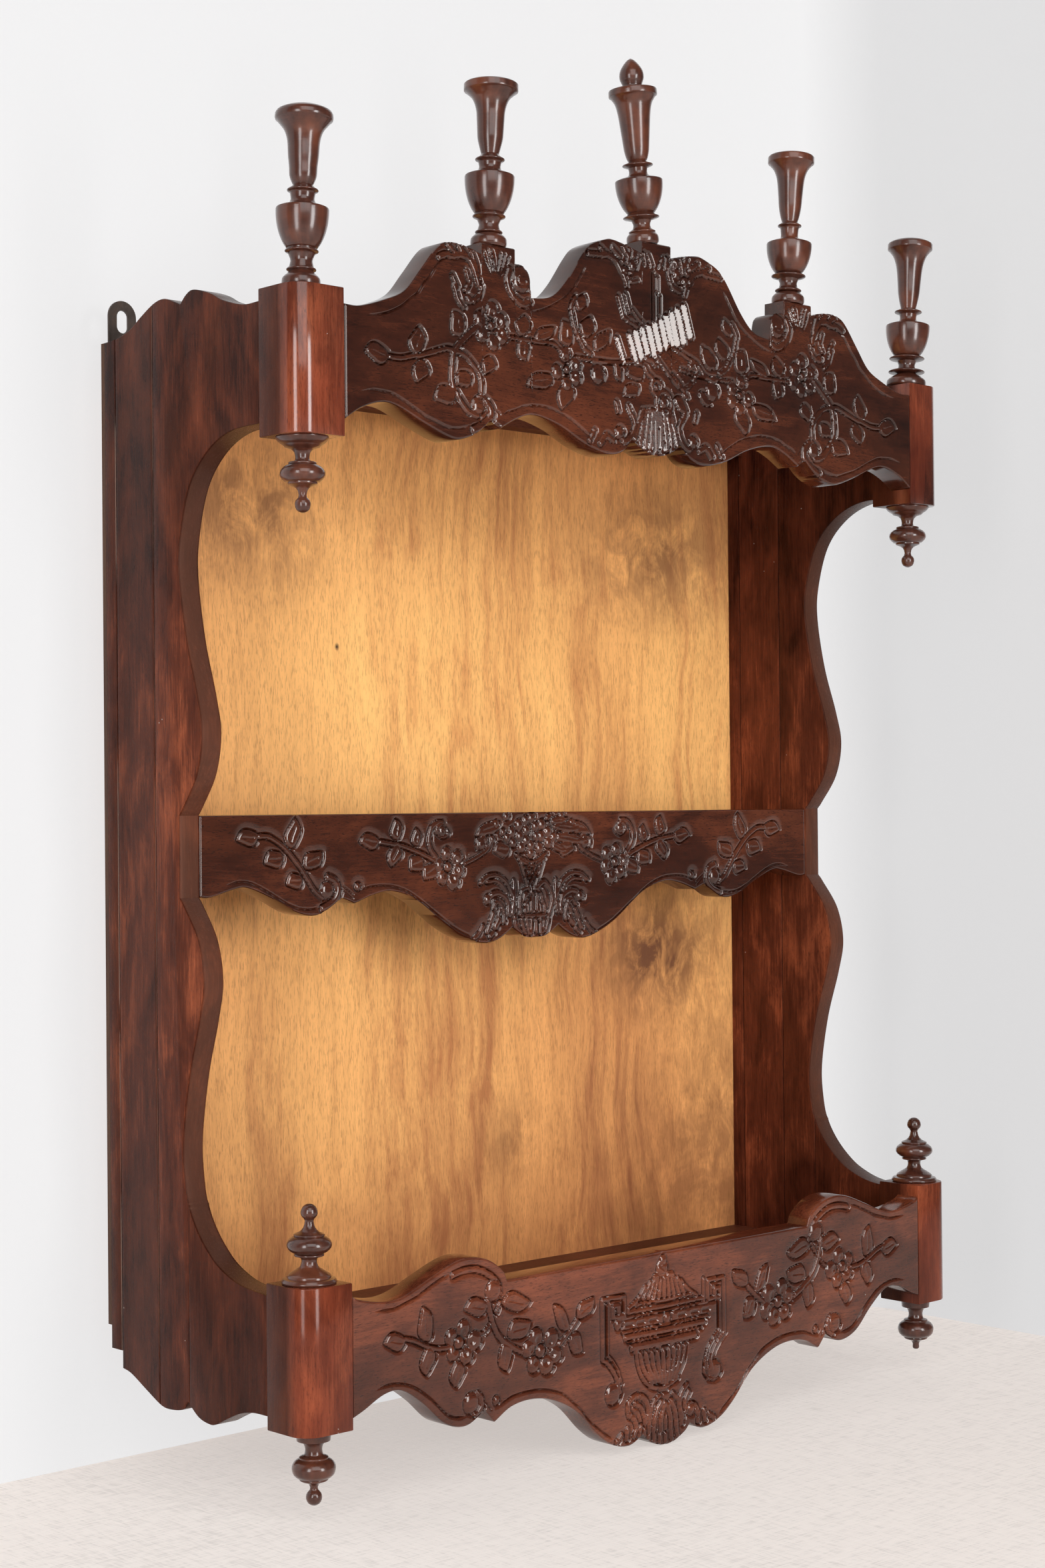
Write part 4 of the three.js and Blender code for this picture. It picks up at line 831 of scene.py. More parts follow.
# The tall finials: the seat in mm, the lean in radians and the profile.
FINIALS = {
    "finial_post_left": (
        (-POST_X, POST_Y, HEAD), 0.034,
        finial_runs(14.8, (11.4, 13.9), 8.6, (12.9, 28.2), (20.6, 30.6, 60.4), 9.2, (12, 75.1),
                    [(7.6, 79.3), (8.8, 81.5), (10.5, 86.3), (11, 94), (11.9, 102), (12.5, 111.7),
                     (13.6, 117.5),
                     (15.7, 122.4), (19.2, 126.8), (21.3, 129.2)],
                    [(22.2, 129.8), (22.6, 131.5), (22.4, 134)],
                    [(22.4, 134), (20.5, 136.6), (14, 139.4), (7, 141), (0, 141.6)]),
    ),
    "finial_crest_left": (
        (-CREST_SEAT_X, RAIL_MIDDLE, CREST_SEAT_Z), 0.034,
        finial_runs(14.7, (11.1, 12.3), 8.2, (13.3, 25.3), (20.4, 27.8, 57.7), 8.8, (11.9, 71.9),
                    [(7.2, 76.4), (8.9, 82.7), (10.3, 88.7), (10.8, 94.7), (11.3, 104.7), (11.8, 111.7),
                     (13.3, 117.7),
                     (15.8, 122.7), (19.9, 126.6)],
                    [(21.6, 128), (22.2, 128.6), (22.2, 133.2)],
                    [(21.4, 134), (12, 135.2), (6, 135.8), (0, 136.6)]),
    ),
    "finial_centre": (
        (-4, RAIL_MIDDLE, CENTRE_PLINTH[2] - FOOT), -0.085,
        finial_runs(13.8, (11.4, 10.8), 7.3, (15.4, 23.2), (20.5, 27, 54), 7.8, (13, 67.6),
                    [(8.3, 71.8), (9.4, 74.5), (10.7, 80), (11.6, 88), (12.6, 98), (14, 111),
                     (15.8, 119.5), (18.5, 124.4)],
                    [(20, 126), (20.8, 126.7), (20.8, 130.6)],
                    [(20.8, 130.6), (19.6, 132), (12, 133), (8.4, 134.4), (8.8, 137), (10.4, 141.5),
                     (10, 147),
                     (7.4, 152), (3.4, 156.6), (0, 158.6)]),
    ),
    "finial_crest_right": (
        (CREST_SEAT_X, RAIL_MIDDLE, CREST_SEAT_Z), 0.05,
        finial_runs(14.7, (11.8, 12.8), 7.8, (15.3, 26), (20.5, 28.9, 55.3), 7.8, (10.6, 72.4),
                    [(7.2, 76.4), (8.8, 82), (10.2, 90), (11, 100), (12, 111), (13.2, 118), (15.6, 124),
                     (19.2, 128.6)],
                    [(20.6, 129.6), (21, 130.4), (21, 135)],
                    [(20.2, 136), (13, 137.6), (6, 138.4), (0, 138.6)]),
    ),
    "finial_post_right": (
        (POST_X, POST_Y, HEAD), 0.062,
        finial_runs(18.6, (17, 15.3), 7.8, (16.5, 28.3), (20.9, 31, 59.6), 7.8, (12.8, 73.6),
                    [(7.4, 78), (8.8, 84), (10.2, 92), (11, 102), (12, 113), (13.4, 121), (16, 128),
                     (19.6, 133)],
                    [(20.8, 134), (21.3, 134.8), (21.3, 139)],
                    [(20.8, 140), (16, 142.4), (8, 143.8), (0, 144)]),
    ),
}
UPPER_PENDANT = [
    [(0, 0), (20.3, 0)], [(20.3, 0), (20.5, 1.2), (18.2, 4), (14.6, 6.3)], [(14.6, 6.3), (13.6, 7.6)],
    [(13.6, 7.6), (9, 9)], [(9, 9), (6.4, 11.6), (5.5, 15.6), (6, 18), (7.6, 18.8)],
    [(7.6, 18.8), (10.4, 19.4), (10.9, 20.5), (10.4, 21.4)],
    [(10.4, 21.4), (13.2, 22.2), (16.4, 25), (17.5, 28.5), (16.4, 31.6), (13.4, 34.4)],
    [(13.4, 34.4), (11.4, 34.8)], [(11.4, 34.8), (11.3, 36.2), (9.6, 37)],
    [(9.6, 37), (6.1, 38.6), (3.9, 41), (3, 44.4)],
    [(3, 44.4), (3.6, 46.6), (5.6, 49), (6.1, 52.3), (4.8, 56), (2, 57.8), (0, 58.2)],
]
LOWER_FINIAL = [
    [(0, 0), (20.6, 0)], [(20.6, 0), (21.4, 1.6), (20.2, 3.8)], [(20.2, 3.8), (17, 4.6)],
    [(17, 4.6), (16.4, 6.6), (12.4, 9.4), (7.6, 12.4), (6, 16), (6.4, 19), (8.8, 20.4)],
    [(8.8, 20.4), (11.2, 20.9), (11.6, 22), (10.8, 23)],
    [(10.8, 23), (14, 24.2), (16.8, 27), (17.4, 29.8), (16.2, 32.8), (13, 35.4)],
    [(13, 35.4), (11.6, 35.8)], [(11.6, 35.8), (12, 37.2), (10, 38.2)],
    [(10, 38.2), (7, 39.8), (4.4, 43), (3.3, 47.4)],
    [(3.3, 47.4), (4, 49), (6.1, 51.6), (6.5, 54.4), (5.2, 58), (2.4, 60.2), (0, 60.6)],
]
# The lower pendants end in a ball, or in the stub that is left where the ball is lost.
LOWER_PENDANT = [
    [(0, 0), (13.2, 0)], [(13.2, 0), (13.4, 3), (13, 7.6)], [(13, 7.6), (8.4, 9.2)],
    [(8.4, 9.2), (7.2, 11.6), (6.6, 14.7), (7.4, 18.4), (9.4, 19.4)],
    [(9.4, 19.4), (11.2, 20.2), (11.3, 21.4)],
    [(11.3, 21.4), (14.4, 23.2), (16.4, 26), (16.9, 29), (15.9, 33), (13.4, 35.6)],
    [(13.4, 35.6), (11, 36.4)], [(11, 36.4), (10.8, 38), (7, 39.4)], [(7, 39.4), (4.3, 40.8), (3, 43.4)],
]
PENDANT_BALL = [[(3, 43.4), (3.4, 45.4), (5.6, 48.2), (6.2, 51.6), (5, 55), (2.4, 57), (0, 57.4)]]
PENDANT_STUB = [[(3, 43.4), (3.1, 46.6), (2.2, 48)], [(2.2, 48), (0, 48.3)]]
# Each lower pendant's end, and how far in mm it sits off the middle of its post.
LOWER_ENDS = {"left": (PENDANT_BALL, 3.0), "right": (PENDANT_STUB, 0.0)}


# Stage, in metres. The rear wall runs from its left end to the corner, and the side wall comes forward.
WALL_LEFT = -1.3
WALL_DEPTH = 0.03
WALL_FOOT = -0.6
WALL_HEIGHT = 4.0
CORNER_X = 0.592
CORNER_ROUND = 0.06
SIDE_WALL_END = -0.26
TABLE_HALF = 5.0
# Half-width and half-height of the opening behind the back panel.
OPENING = (0.355, 0.4)
# Lamps: azimuth in degrees, distance, height, width and length in metres, and power in watts.
LAMPS = {
    "left softbox": (-66, 2.6, 0.32, 0.6, 1.6, 26.0),
    "right softbox": (2, 2.8, 0.36, 0.75, 1.6, 48.0),
    "ceiling": (-30, 2.8, 1.8, 2.4, 2.4, 50.0),
    "rear softbox": (180, 2.8, 0.5, 2.0, 2.0, 45.0),
}
LAMP_AIM = (0, -0.2, 0.05)
# The camera: focal length and frame height in pixels, place in metres, and turns in radians.
FOCAL_PIXELS = 3811.13
FRAME_PIXELS = 2352
SENSOR = 36
CAMERA_PLACE = (-1.5619, -1.7833, 0.0387)
CAMERA_TURNS = ((-0.7449221, "Z"), (0.0085004, "X"), (0.0090202, "Y"))


# Finishes.
class Wire:
    """A node's output, with arithmetic that adds Math nodes."""

    def __init__(self, look, socket):
        self.look, self.socket = look, socket

    def maths(self, operation, first, second):
        return self.look.node("ShaderNodeMath", {"operation": operation}, {0: first, 1: second})

    def __add__(self, other):
        return self.maths("ADD", self, other)

    def __radd__(self, other):
        return self.maths("ADD", other, self)

    def __sub__(self, other):
        return self.maths("SUBTRACT", self, other)

    def __rsub__(self, other):
        return self.maths("SUBTRACT", other, self)

    def __mul__(self, other):
        return self.maths("MULTIPLY", self, other)

    def __rmul__(self, other):
        return self.maths("MULTIPLY", other, self)

    def __gt__(self, other):
        return self.maths("GREATER_THAN", self, other)

    def __lt__(self, other):
        return self.maths("LESS_THAN", self, other)


class Nodes:
    """A node tree under construction."""

    def __init__(self, tree):
        self.tree = tree

    def node(self, kind, settings=None, inputs=None, output=0):
        """Adds a node: its settings first, then the values or links of its sockets."""
        made = self.tree.nodes.new(kind)
        for key, value in (settings or {}).items():
            if key == "stops":
                ramp = made.color_ramp
                while len(ramp.elements) < len(value):
                    ramp.elements.new(0.5)
                for element, (place, colour) in zip(ramp.elements, value):
                    element.position = place
                    element.color = (*colour, 1)
            else:
                setattr(made, key, value)
        for key, value in (inputs or {}).items():
            if isinstance(value, Wire):
                self.tree.links.new(value.socket, made.inputs[key])
            else:
                made.inputs[key].default_value = value
        return Wire(self, made.outputs[output])

    def seen_rays(self, polish=1.0):
        """1 for what the camera sees, and polish for what a reflection or glass shows."""
        rays = self.node("ShaderNodeLightPath", output="Is Camera Ray")
        for name in ("Is Glossy Ray", "Is Transmission Ray"):
            rays = rays + self.node("ShaderNodeLightPath", output=name) * polish
        return rays


class Look(Nodes):
    """A material under construction, with one Principled shader."""

    def __init__(self, name, **constants):
        self.material = bpy.data.materials.new(name)
        self.material.use_nodes = True
        super().__init__(self.material.node_tree)
        self.tree.nodes.clear()
        self.shader = self.tree.nodes.new("ShaderNodeBsdfPrincipled")
        self.end = self.tree.nodes.new("ShaderNodeOutputMaterial")
        self.tree.links.new(self.shader.outputs[0], self.end.inputs[0])
        for socket, value in constants.items():
            self.shader.inputs[socket.replace("_", " ")].default_value = value

    def place(self):
        """Where a point lies in the rack's frame, in metres."""
        return self.node("ShaderNodeTexCoord", output="Object")

    def number(self, name):
        """A number that give_number stored on the mesh."""
        return self.node("ShaderNodeAttribute", {"attribute_name": name}, output="Fac")

    def axis(self, vector, name):
        """One coordinate of a place."""
        return self.node("ShaderNodeSeparateXYZ", {}, {0: vector}, name)

    def stretched(self, vector, scale, shift=(0, 0, 0)):
        """A place scaled along each axis and shifted."""
        return self.node("ShaderNodeMapping", {}, {"Vector": vector, "Scale": scale, "Location": shift})

    def swayed(self, vector, scale, reach):
        """Moves a place about by a soft noise, so that grain doesn't run dead straight."""
        sway = self.noise(vector, scale, 2, output="Color")
        values = {0: sway, 1: (reach,) * 3, 2: vector}
        return self.node("ShaderNodeVectorMath", {"operation": "MULTIPLY_ADD"}, values)

    def noise(self, vector, scale, detail=2.0, rough=0.5, bend=0.0, output="Fac"):
        values = {"Vector": vector, "Scale": scale, "Detail": detail, "Roughness": rough}
        return self.node("ShaderNodeTexNoise", {}, {**values, "Distortion": bend}, output)

    def ramp(self, value, stops):
        """A colour for each value, between the stops."""
        return self.node("ShaderNodeValToRGB", {"stops": stops}, {0: value})

    def step(self, value, low, high):
        """0 below low, 1 above high."""
        values = {"Value": value, "From Min": low, "From Max": high}
        return self.node("ShaderNodeMapRange", {"clamp": True}, values)

    def blend(self, share, first, second):
        """A colour between first and second, by share."""
        return self.node("ShaderNodeMix", {"data_type": "RGBA"}, {0: share, 6: first, 7: opaque(second)}, 2)

    def feed(self, **sockets):
        """Links outputs to the shader's sockets."""
        for name, wire in sockets.items():
            self.tree.links.new(wire.socket, self.shader.inputs[name.replace("_", " ")])

    def glow(self, colour):
        """Light of an even colour."""
        return self.node("ShaderNodeEmission", {}, {"Color": opaque(colour)})

    def even_out(self, share, plain):
        """Shows the camera and the polish a share of a plain glow instead of the shaded surface."""
        shaded = Wire(self, self.shader.outputs[0])
        mixed = self.node("ShaderNodeMixShader", {}, {0: self.seen_rays() * share, 1: shaded, 2: plain})
        self.tree.links.new(mixed.socket, self.end.inputs[0])

    def bump(self, height, strength, distance):
        """Small relief that only the shading shows."""
        values = {"Height": height, "Strength": strength, "Distance": distance}
        self.feed(Normal=self.node("ShaderNodeBump", {}, values))


def opaque(colour):
    """The colour with an alpha of 1; a node's output stays as it is."""
    return colour if isinstance(colour, Wire) else (*colour[:3], 1.0)


def shade(colour, factor):
    """The colour made darker or lighter."""
    return tuple(min(1.0, c * factor) for c in colour[:3])


# Stretch of the streaks, pores and figure along the grain, for boards whose grain runs along x or z.
GRAIN = {"x": (0.055, 1, 1), "z": (1, 1, 0.055)}
PORES = {"x": (0.14, 1, 1), "z": (1, 1, 0.14)}
FIGURE = {"x": (0.4, 1, 1), "z": (1, 1, 0.4)}
# A board's sawn edge, the painted red glow on the posts' lit fronts, glue and dust.
EDGE = (0.075, 0.034, 0.023)
PAINTED_GLOW_RED = (0.24, 0.034, 0.014)
GLUE = (0.45, 0.36, 0.30)
DUST = (0.5, 0.46, 0.42)


def walnut_look(name, grain, tones, roughness, shift, contrast=1.0, coat=0.0, kind="plain"):
    """Polished walnut: broad figure, fine streaks, pores and dust, with painted shade and glow for some
    kinds; kind is plain, carved, board or post.
    """
    dark, middle, light = tones
    gloss, tint = (0.44, (1, 0.95, 0.9)) if kind == "carved" else (0.12, (1, 0.62, 0.48))
    look = Look(
        name, Specular_IOR_Level=gloss, Specular_Tint=opaque(tint), Coat_Weight=coat, Coat_Roughness=0.12
    )
    place = look.place()
    bent = look.swayed(place, 5, 0.012)
    figured = look.stretched(bent, FIGURE[grain], shift)
    figure = look.noise(figured, 42, detail=4, rough=0.6, bend=0.6)
    flame = look.noise(figured, 17, detail=4, rough=0.6, bend=0.8)
    streak = look.noise(look.stretched(bent, GRAIN[grain], shift), 480, detail=4, rough=0.6)
    cloud = look.noise(look.stretched(bent, FIGURE[grain]), 11, detail=4, rough=0.6)
    pores = look.noise(look.stretched(bent, PORES[grain], shift), 1400, detail=2, rough=0.6)
    height = look.axis(place, "Z")
    calm = kind == "board"
    tone = (figure - 0.5) * (0.8 * contrast) + (streak - 0.5) * (0.5 * contrast) + 0.5
    tone = tone + (cloud - 0.5) * (0.6 if calm else 1.0)
    if calm:
        # Boards are darkened towards their top and, less, towards their bottom: painted shade.
        tone = tone - look.step(height, 0.05, 0.42) * 0.24 - look.step(0 - height, 0.15, 0.4) * 0.12
    colour = look.ramp(tone, [(0.18, dark), (0.5, middle), (0.86, light)])
    colour = look.blend(look.step(flame, 0.46, 0.8) * (0.28 if calm else 0.5), colour, shade(light, 0.75))
    pits = look.step(pores, 0.55, 0.68)
    colour = look.blend(pits * 0.6, colour, shade(dark, 0.45))
    if kind == "board":
        colour = board_marks(look, place, colour, flame, dark)
    if kind == "carved":
        # The cuts are darkened by their depth: painted shade in the carving's recesses.
        hollow = look.step(look.number("hollow"), 0.25, 0.9)
        colour = look.blend(hollow * 0.9, colour, shade(dark, 0.3))
    if kind == "post":
        front = look.step(0 - look.axis(place, "Y"), 0.2425, 0.2525)
        # Painted shade darkens the posts' faces other than the front, and patches of painted red glow lie
        # on the lit front.
        colour = look.blend((1 - front) * 0.72, colour, dark)
        colour = look.blend(front * look.step(flame, 0.3, 0.7) * 0.35, colour, PAINTED_GLOW_RED)
        look.feed(Coat_Weight=front * (look.step(height, -0.1, 0.1) * 0.55 + 0.3))
    near = look.node("ShaderNodeTexVoronoi", {}, {"Vector": place, "Scale": 85}, "Distance")
    specks = (near < 0.05) * (look.noise(place, 31, detail=1) > 0.66)
    colour = look.blend(specks * 0.55, colour, DUST)
    look.feed(Base_Color=colour, Roughness=roughness + (streak - 0.5) * 0.08 + pits * 0.04)
    look.bump(streak * 0.3 - pits * 0.2 + figure * 0.6, 0.1, 0.0004)
    return look.material


def board_marks(look, place, colour, flame, dark):
    """A side board's sawn edges, the dark lines along its arrises and the pale glue lines outside."""
    inner, outer = SIDE_INNER * MM, SIDE_OUTER * MM
    across = look.axis(place, "X")
    square = across * across

    def between(low, high, soft):
        """1 between two distances from the rack's middle, falling to 0 over the width of soft."""
        starts = look.step(square, low**2, (low + soft) ** 2)
        return starts * (1 - look.step(square, (high - soft) ** 2, high**2))

    edge = between(inner + 0.0006, outer - 0.0008, 0.0013)
    colour = look.blend(edge * 0.75, colour, EDGE)
    arris = between(inner + 0.0002, outer - 0.0003, 0.0001)
    colour = look.blend(arris * (1 - edge) * 0.6, colour, shade(dark, 0.8))
    face = look.step(square, (outer - 0.0004) ** 2, (outer - 0.0002) ** 2)
    deep = look.axis(place, "Y")
    for joint in (REAR_SPLIT + GAP / 2, STRIP_SPLIT - GAP / 2):
        off = deep - joint * MM
        line = 1 - look.step(off * off, 0.00045**2, 0.00095**2)
        colour = look.blend(line * look.step(flame, 0.4, 0.55) * face * 0.35, colour, GLUE)
    return colour


def turned_look(colours):
    """Turned walnut, darker and more even, with reddish worn patches and fine lathe lines."""
    look = Look("turned_walnut_polish", Specular_IOR_Level=0.22, Coat_Weight=0.75, Coat_Roughness=0.16)
    place = look.place()
    streak = look.noise(look.stretched(place, GRAIN["z"]), 190, detail=5, rough=0.6)
    wear = look.noise(place, 28, detail=3, rough=0.6)
    lathe = look.noise(look.stretched(place, (0.1, 0.1, 1)), 900, detail=2)
    base, red = colours.turned[:], colours.turned_worn[:]
    stops = [(0.25, shade(base, 0.6)), (0.5, base), (0.78, shade(base, 1.6))]
    colour = look.ramp(streak + (lathe - 0.5) * 0.3, stops)
    colour = look.blend(look.step(wear, 0.5, 0.72) * 0.6, colour, red)
    look.feed(Base_Color=colour, Roughness=0.32 + (wear - 0.5) * 0.25 + (streak - 0.5) * 0.12)
    look.bump(streak * 0.4 + lathe * 0.5, 0.25, 0.0003)
    return look.material


def spot(look, place, centre, size):
    """1 at the centre, falling to 0 at an ellipse round it."""
    x, z = centre
    a, b = size
    moved = look.stretched(place, (1 / a, 0, 1 / b), (-x / a, 0, -z / b))
    reach = look.node("ShaderNodeVectorMath", {"operation": "LENGTH"}, {0: moved}, "Value")
    return look.step(1 - reach, 0.0, 0.8)


# Painted light where the panel lies brightest, and its dark blotches: middle (x, z) and half-sizes in
# metres, and strength.
PANEL_PAINTED_LIGHT = [
    ((-0.02, 0.14), (0.44, 0.32), 1.0), ((-0.12, -0.2), (0.4, 0.24), 0.6),
    ((0.36, 0.08), (0.16, 0.5), 0.9),
]
PANEL_STAINS = [
    ((0.262, 0.29), (0.14, 0.09), 0.75), ((0.26, -0.112), (0.11, 0.085), 1.0),
    ((-0.24, 0.30), (0.12, 0.1), 0.7), ((0.33, -0.33), (0.18, 0.24), 0.5),
    ((0.06, -0.278), (0.05, 0.05), 0.5), ((0.36, 0.1), (0.09, 0.5), 0.12),
]
PANEL_HOLE = ((-0.146, 0.182), (0.003, 0.004))


def panel_look(colours):
    """The thin back panel: golden, with upright pores, soft figure, painted light where it lies brightest,
    stains and darker blotches.
    """
    look = Look("golden_panel", Specular_IOR_Level=0.2)
    place = look.place()
    along = look.stretched(look.swayed(place, 3.5, 0.09), (1, 1, 0.07))
    figure = look.noise(along, 11, detail=4, rough=0.6, bend=0.8)
    streak = look.noise(along, 110, detail=6, rough=0.72)
    pores = look.noise(look.stretched(place, (1, 1, 0.11)), 1300, detail=2, rough=0.5)
    base, bright = colours.panel[:], colours.panel_painted_light[:]
    tone = (figure - 0.5) * 2.0 + (streak - 0.5) * 1.2 + 0.5
    colour = look.ramp(tone, [(0.15, colours.panel_red[:]), (0.5, base), (0.8, shade(base, 1.25))])
    painted_light_colour = look.ramp(tone, [(0.1, shade(base, 0.95)), (0.5, bright), (0.8, shade(bright, 1.15))])
    # Pools of painted light brighten the panel's middle and its right side.
    glow = sum(spot(look, place, centre, size) * amount for centre, size, amount in PANEL_PAINTED_LIGHT)
    colour = look.blend(look.step(glow, 0.0, 1.0), colour, painted_light_colour)
    cloud = look.noise(place, 16, detail=4, rough=0.65, bend=0.5)
    mottle = look.noise(look.stretched(place, (1, 1, 0.6)), 34, detail=4, rough=0.7, bend=1.0)
    for centre, size, amount in PANEL_STAINS:
        mask = spot(look, place, centre, size) * look.step(mottle * 0.6 + cloud * 0.5, 0.44, 0.62)
        colour = look.blend(mask * amount, colour, colours.panel_stain)
    side = look.axis(place, "X")
    foot = look.step(0 - look.axis(place, "Z"), 0.26, 0.42) * look.step(cloud, 0.3, 0.7)
    colour = look.blend(foot * 0.6, colour, colours.panel_red)
    edge = look.step(side, 0.2, 0.37) * look.step(cloud, 0.25, 0.8)
    colour = look.blend(edge * 0.1, colour, colours.panel_red)
    colour = look.blend(spot(look, place, *PANEL_HOLE), colour, (0.03, 0.015, 0.01))
    pits = look.step(pores, 0.5, 0.68)
    colour = look.blend(pits * 0.42, colour, shade(base, 0.36))
    rim = look.step(side * side, 0.148, 0.1498)
    colour = look.blend(rim * 0.93, colour, (0.03, 0.012, 0.008))
    look.feed(Base_Color=colour, Roughness=0.4 + (streak - 0.5) * 0.2)
    look.bump(streak * 0.3 - pits * 0.5, 0.3, 0.0003)
    return look.material


def steel_look(colours):
    """Dull steel with rusty patches."""
    look = Look("old_steel", Metallic=0.85, Specular_IOR_Level=0.5)
    place = look.place()
    rust = look.noise(place, 60, detail=5, rough=0.65)
    fine = look.noise(place, 420, detail=3, rough=0.6)
    base = colours.steel[:]
    colour = look.ramp(rust, [(0.3, shade(base, 0.7)), (0.55, base), (0.8, (0.16, 0.08, 0.045))])
    look.feed(Base_Color=colour, Roughness=0.42 + (fine - 0.5) * 0.4)
    look.bump(fine, 0.3, 0.0004)
    return look.material


def wall_look(colours):
    """A painted wall, see-through from its rear."""
    look = Look("painted_wall", Roughness=0.9, Specular_IOR_Level=0.2)
    place = look.place()
    tone = look.noise(place, 1.2, detail=2)
    base = colours.wall[:]
    look.feed(Base_Color=look.ramp(tone, [(0.3, shade(base, 0.975)), (0.7, shade(base, 1.02))]))
    look.bump(look.noise(place, 220, detail=4, rough=0.6), 0.15, 0.001)
    # The side wall beyond the corner shows a darker glow than the rear wall: painted shade.
    across = look.step(look.axis(place, "X"), CORNER_X - 0.057, CORNER_X)
    glows = {0: across, 1: look.glow(colours.wall_glow), 2: look.glow(shade(colours.wall_glow, 0.86))}
    look.even_out(0.8, look.node("ShaderNodeMixShader", {}, glows))
    shaded = Wire(look, look.end.inputs[0].links[0].from_socket)
    behind = look.node("ShaderNodeNewGeometry", output="Backfacing")
    clear = look.node("ShaderNodeBsdfTransparent")
    open_back = look.node("ShaderNodeMixShader", {}, {0: behind, 1: shaded, 2: clear})
    look.tree.links.new(open_back.socket, look.end.inputs[0])
    return look.material


def cloth_look(colours):
    """The table's woven cloth."""
    look = Look("table_cloth", Roughness=0.95, Specular_IOR_Level=0.1)
    place = look.place()
    weft = look.noise(look.stretched(place, (0.12, 1, 1)), 420, detail=3, rough=0.6)
    warp = look.noise(look.stretched(place, (1, 0.12, 1)), 420, detail=3, rough=0.6)
    soft = look.noise(place, 3, detail=2)
    base = colours.cloth[:]
    weave = (weft + warp) * 0.5
    stops = [(0.34, shade(base, 0.5)), (0.5, base), (0.66, shade(base, 1.1))]
    look.feed(Base_Color=look.ramp(weave + (soft - 0.5) * 0.2, stops))
    look.bump(weave, 0.5, 0.0012)
    look.even_out(0.62, look.glow(colours.cloth_glow))
    return look.material


# Sizes and colours.
class RackSizes(bpy.types.PropertyGroup):
    """Measures that a user would change."""

    carving_depth: FloatProperty(
        name="Carving depth", description="How far the ground is sunk round a motif",
        default=0.0031, unit="LENGTH",
    )
    ground_width: FloatProperty(
        name="Ground width", description="How far the ground slopes away from a motif",
        default=0.0024, unit="LENGTH",
    )
    arris: FloatProperty(
        name="Rail arris", description="Rounding of the carved rails' edges",
        default=0.0016, unit="LENGTH",
    )
    board_arris: FloatProperty(
        name="Board arris", description="Rounding of the side boards' edges",
        default=0.0014, unit="LENGTH",
    )
    post_round: FloatProperty(
        name="Post corner", description="Radius of the posts' outer front corner",
        default=0.0175, unit="LENGTH",
    )
    floor_drop: FloatProperty(
        name="Table height", description="Height of the table's top",
        default=-0.5088, unit="LENGTH",
    )


class RackColours(bpy.types.PropertyGroup):
    """Colours that a user would change."""

    dark: FloatVectorProperty(
        name="Walnut, dark", description="Darkest streaks of the walnut",
        default=(0.010, 0.0024, 0.0015), subtype="COLOR",
    )
    middle: FloatVectorProperty(
        name="Walnut, middle", description="Middle tone of the walnut",
        default=(0.047, 0.0112, 0.0054), subtype="COLOR",
    )
    light: FloatVectorProperty(
        name="Walnut, light", description="Lightest streaks of the walnut",
        default=(0.165, 0.043, 0.018), subtype="COLOR",
    )
    turned: FloatVectorProperty(
        name="Turned walnut", description="Turned pieces",
        default=(0.057, 0.0175, 0.0105), subtype="COLOR",
    )
    turned_worn: FloatVectorProperty(
        name="Worn walnut", description="Reddish worn patches of the turned pieces",
        default=(0.165, 0.045, 0.019), subtype="COLOR",
    )
    panel: FloatVectorProperty(
        name="Back panel", description="Golden back panel",
        default=(0.64, 0.27, 0.095), subtype="COLOR",
    )
    # The colour of the panel's painted light.
    panel_painted_light: FloatVectorProperty(
        name="Panel, bright", description="Brightest part of the back panel",
        default=(0.90, 0.48, 0.165), subtype="COLOR",
    )
    panel_stain: FloatVectorProperty(
        name="Panel stain", description="Dark blotches of the panel",
        default=(0.17, 0.07, 0.035), subtype="COLOR",
    )
    panel_red: FloatVectorProperty(
        name="Panel edge", description="Reddish edges of the panel",
        default=(0.34, 0.12, 0.05), subtype="COLOR",
    )
    inner: FloatVectorProperty(
        name="Inner wood", description="Shelves and top back rail",
        default=(0.11, 0.034, 0.018), subtype="COLOR",
    )
    steel: FloatVectorProperty(
        name="Steel", description="Hanging plates, screws and nails",
        default=(0.10, 0.078, 0.068), subtype="COLOR",
    )
    wall: FloatVectorProperty(
        name="Wall", description="Wall behind the rack",
        default=(0.70, 0.70, 0.705), subtype="COLOR",
    )
    wall_glow: FloatVectorProperty(
        name="Wall, seen", description="Even tone that the camera sees in the wall",
        default=(0.885, 0.88, 0.885), subtype="COLOR",
    )
    cloth: FloatVectorProperty(
        name="Cloth", description="Cloth of the table",
        default=(0.88, 0.82, 0.77), subtype="COLOR",
    )
    cloth_glow: FloatVectorProperty(
        name="Cloth, seen", description="Even tone that the camera sees in the cloth",
        default=(0.90, 0.83, 0.79), subtype="COLOR",
    )


def settings():
    """The rack's sizes and colours, as the scene holds them."""
    return bpy.context.scene.rack_sizes, bpy.context.scene.rack_colours


def polished_walnut(name, grain, tone, roughness, shift, **choices):
    """Finds a walnut finish by name, or makes it with the rack's colours multiplied by tone."""
    found = bpy.data.materials.get(name)
    if found:
        return found
    colours = bpy.context.scene.rack_colours
    tones = [shade(c, tone) for c in (colours.dark, colours.middle, colours.light)]
    return walnut_look(name, grain, tones, roughness, shift, **choices)


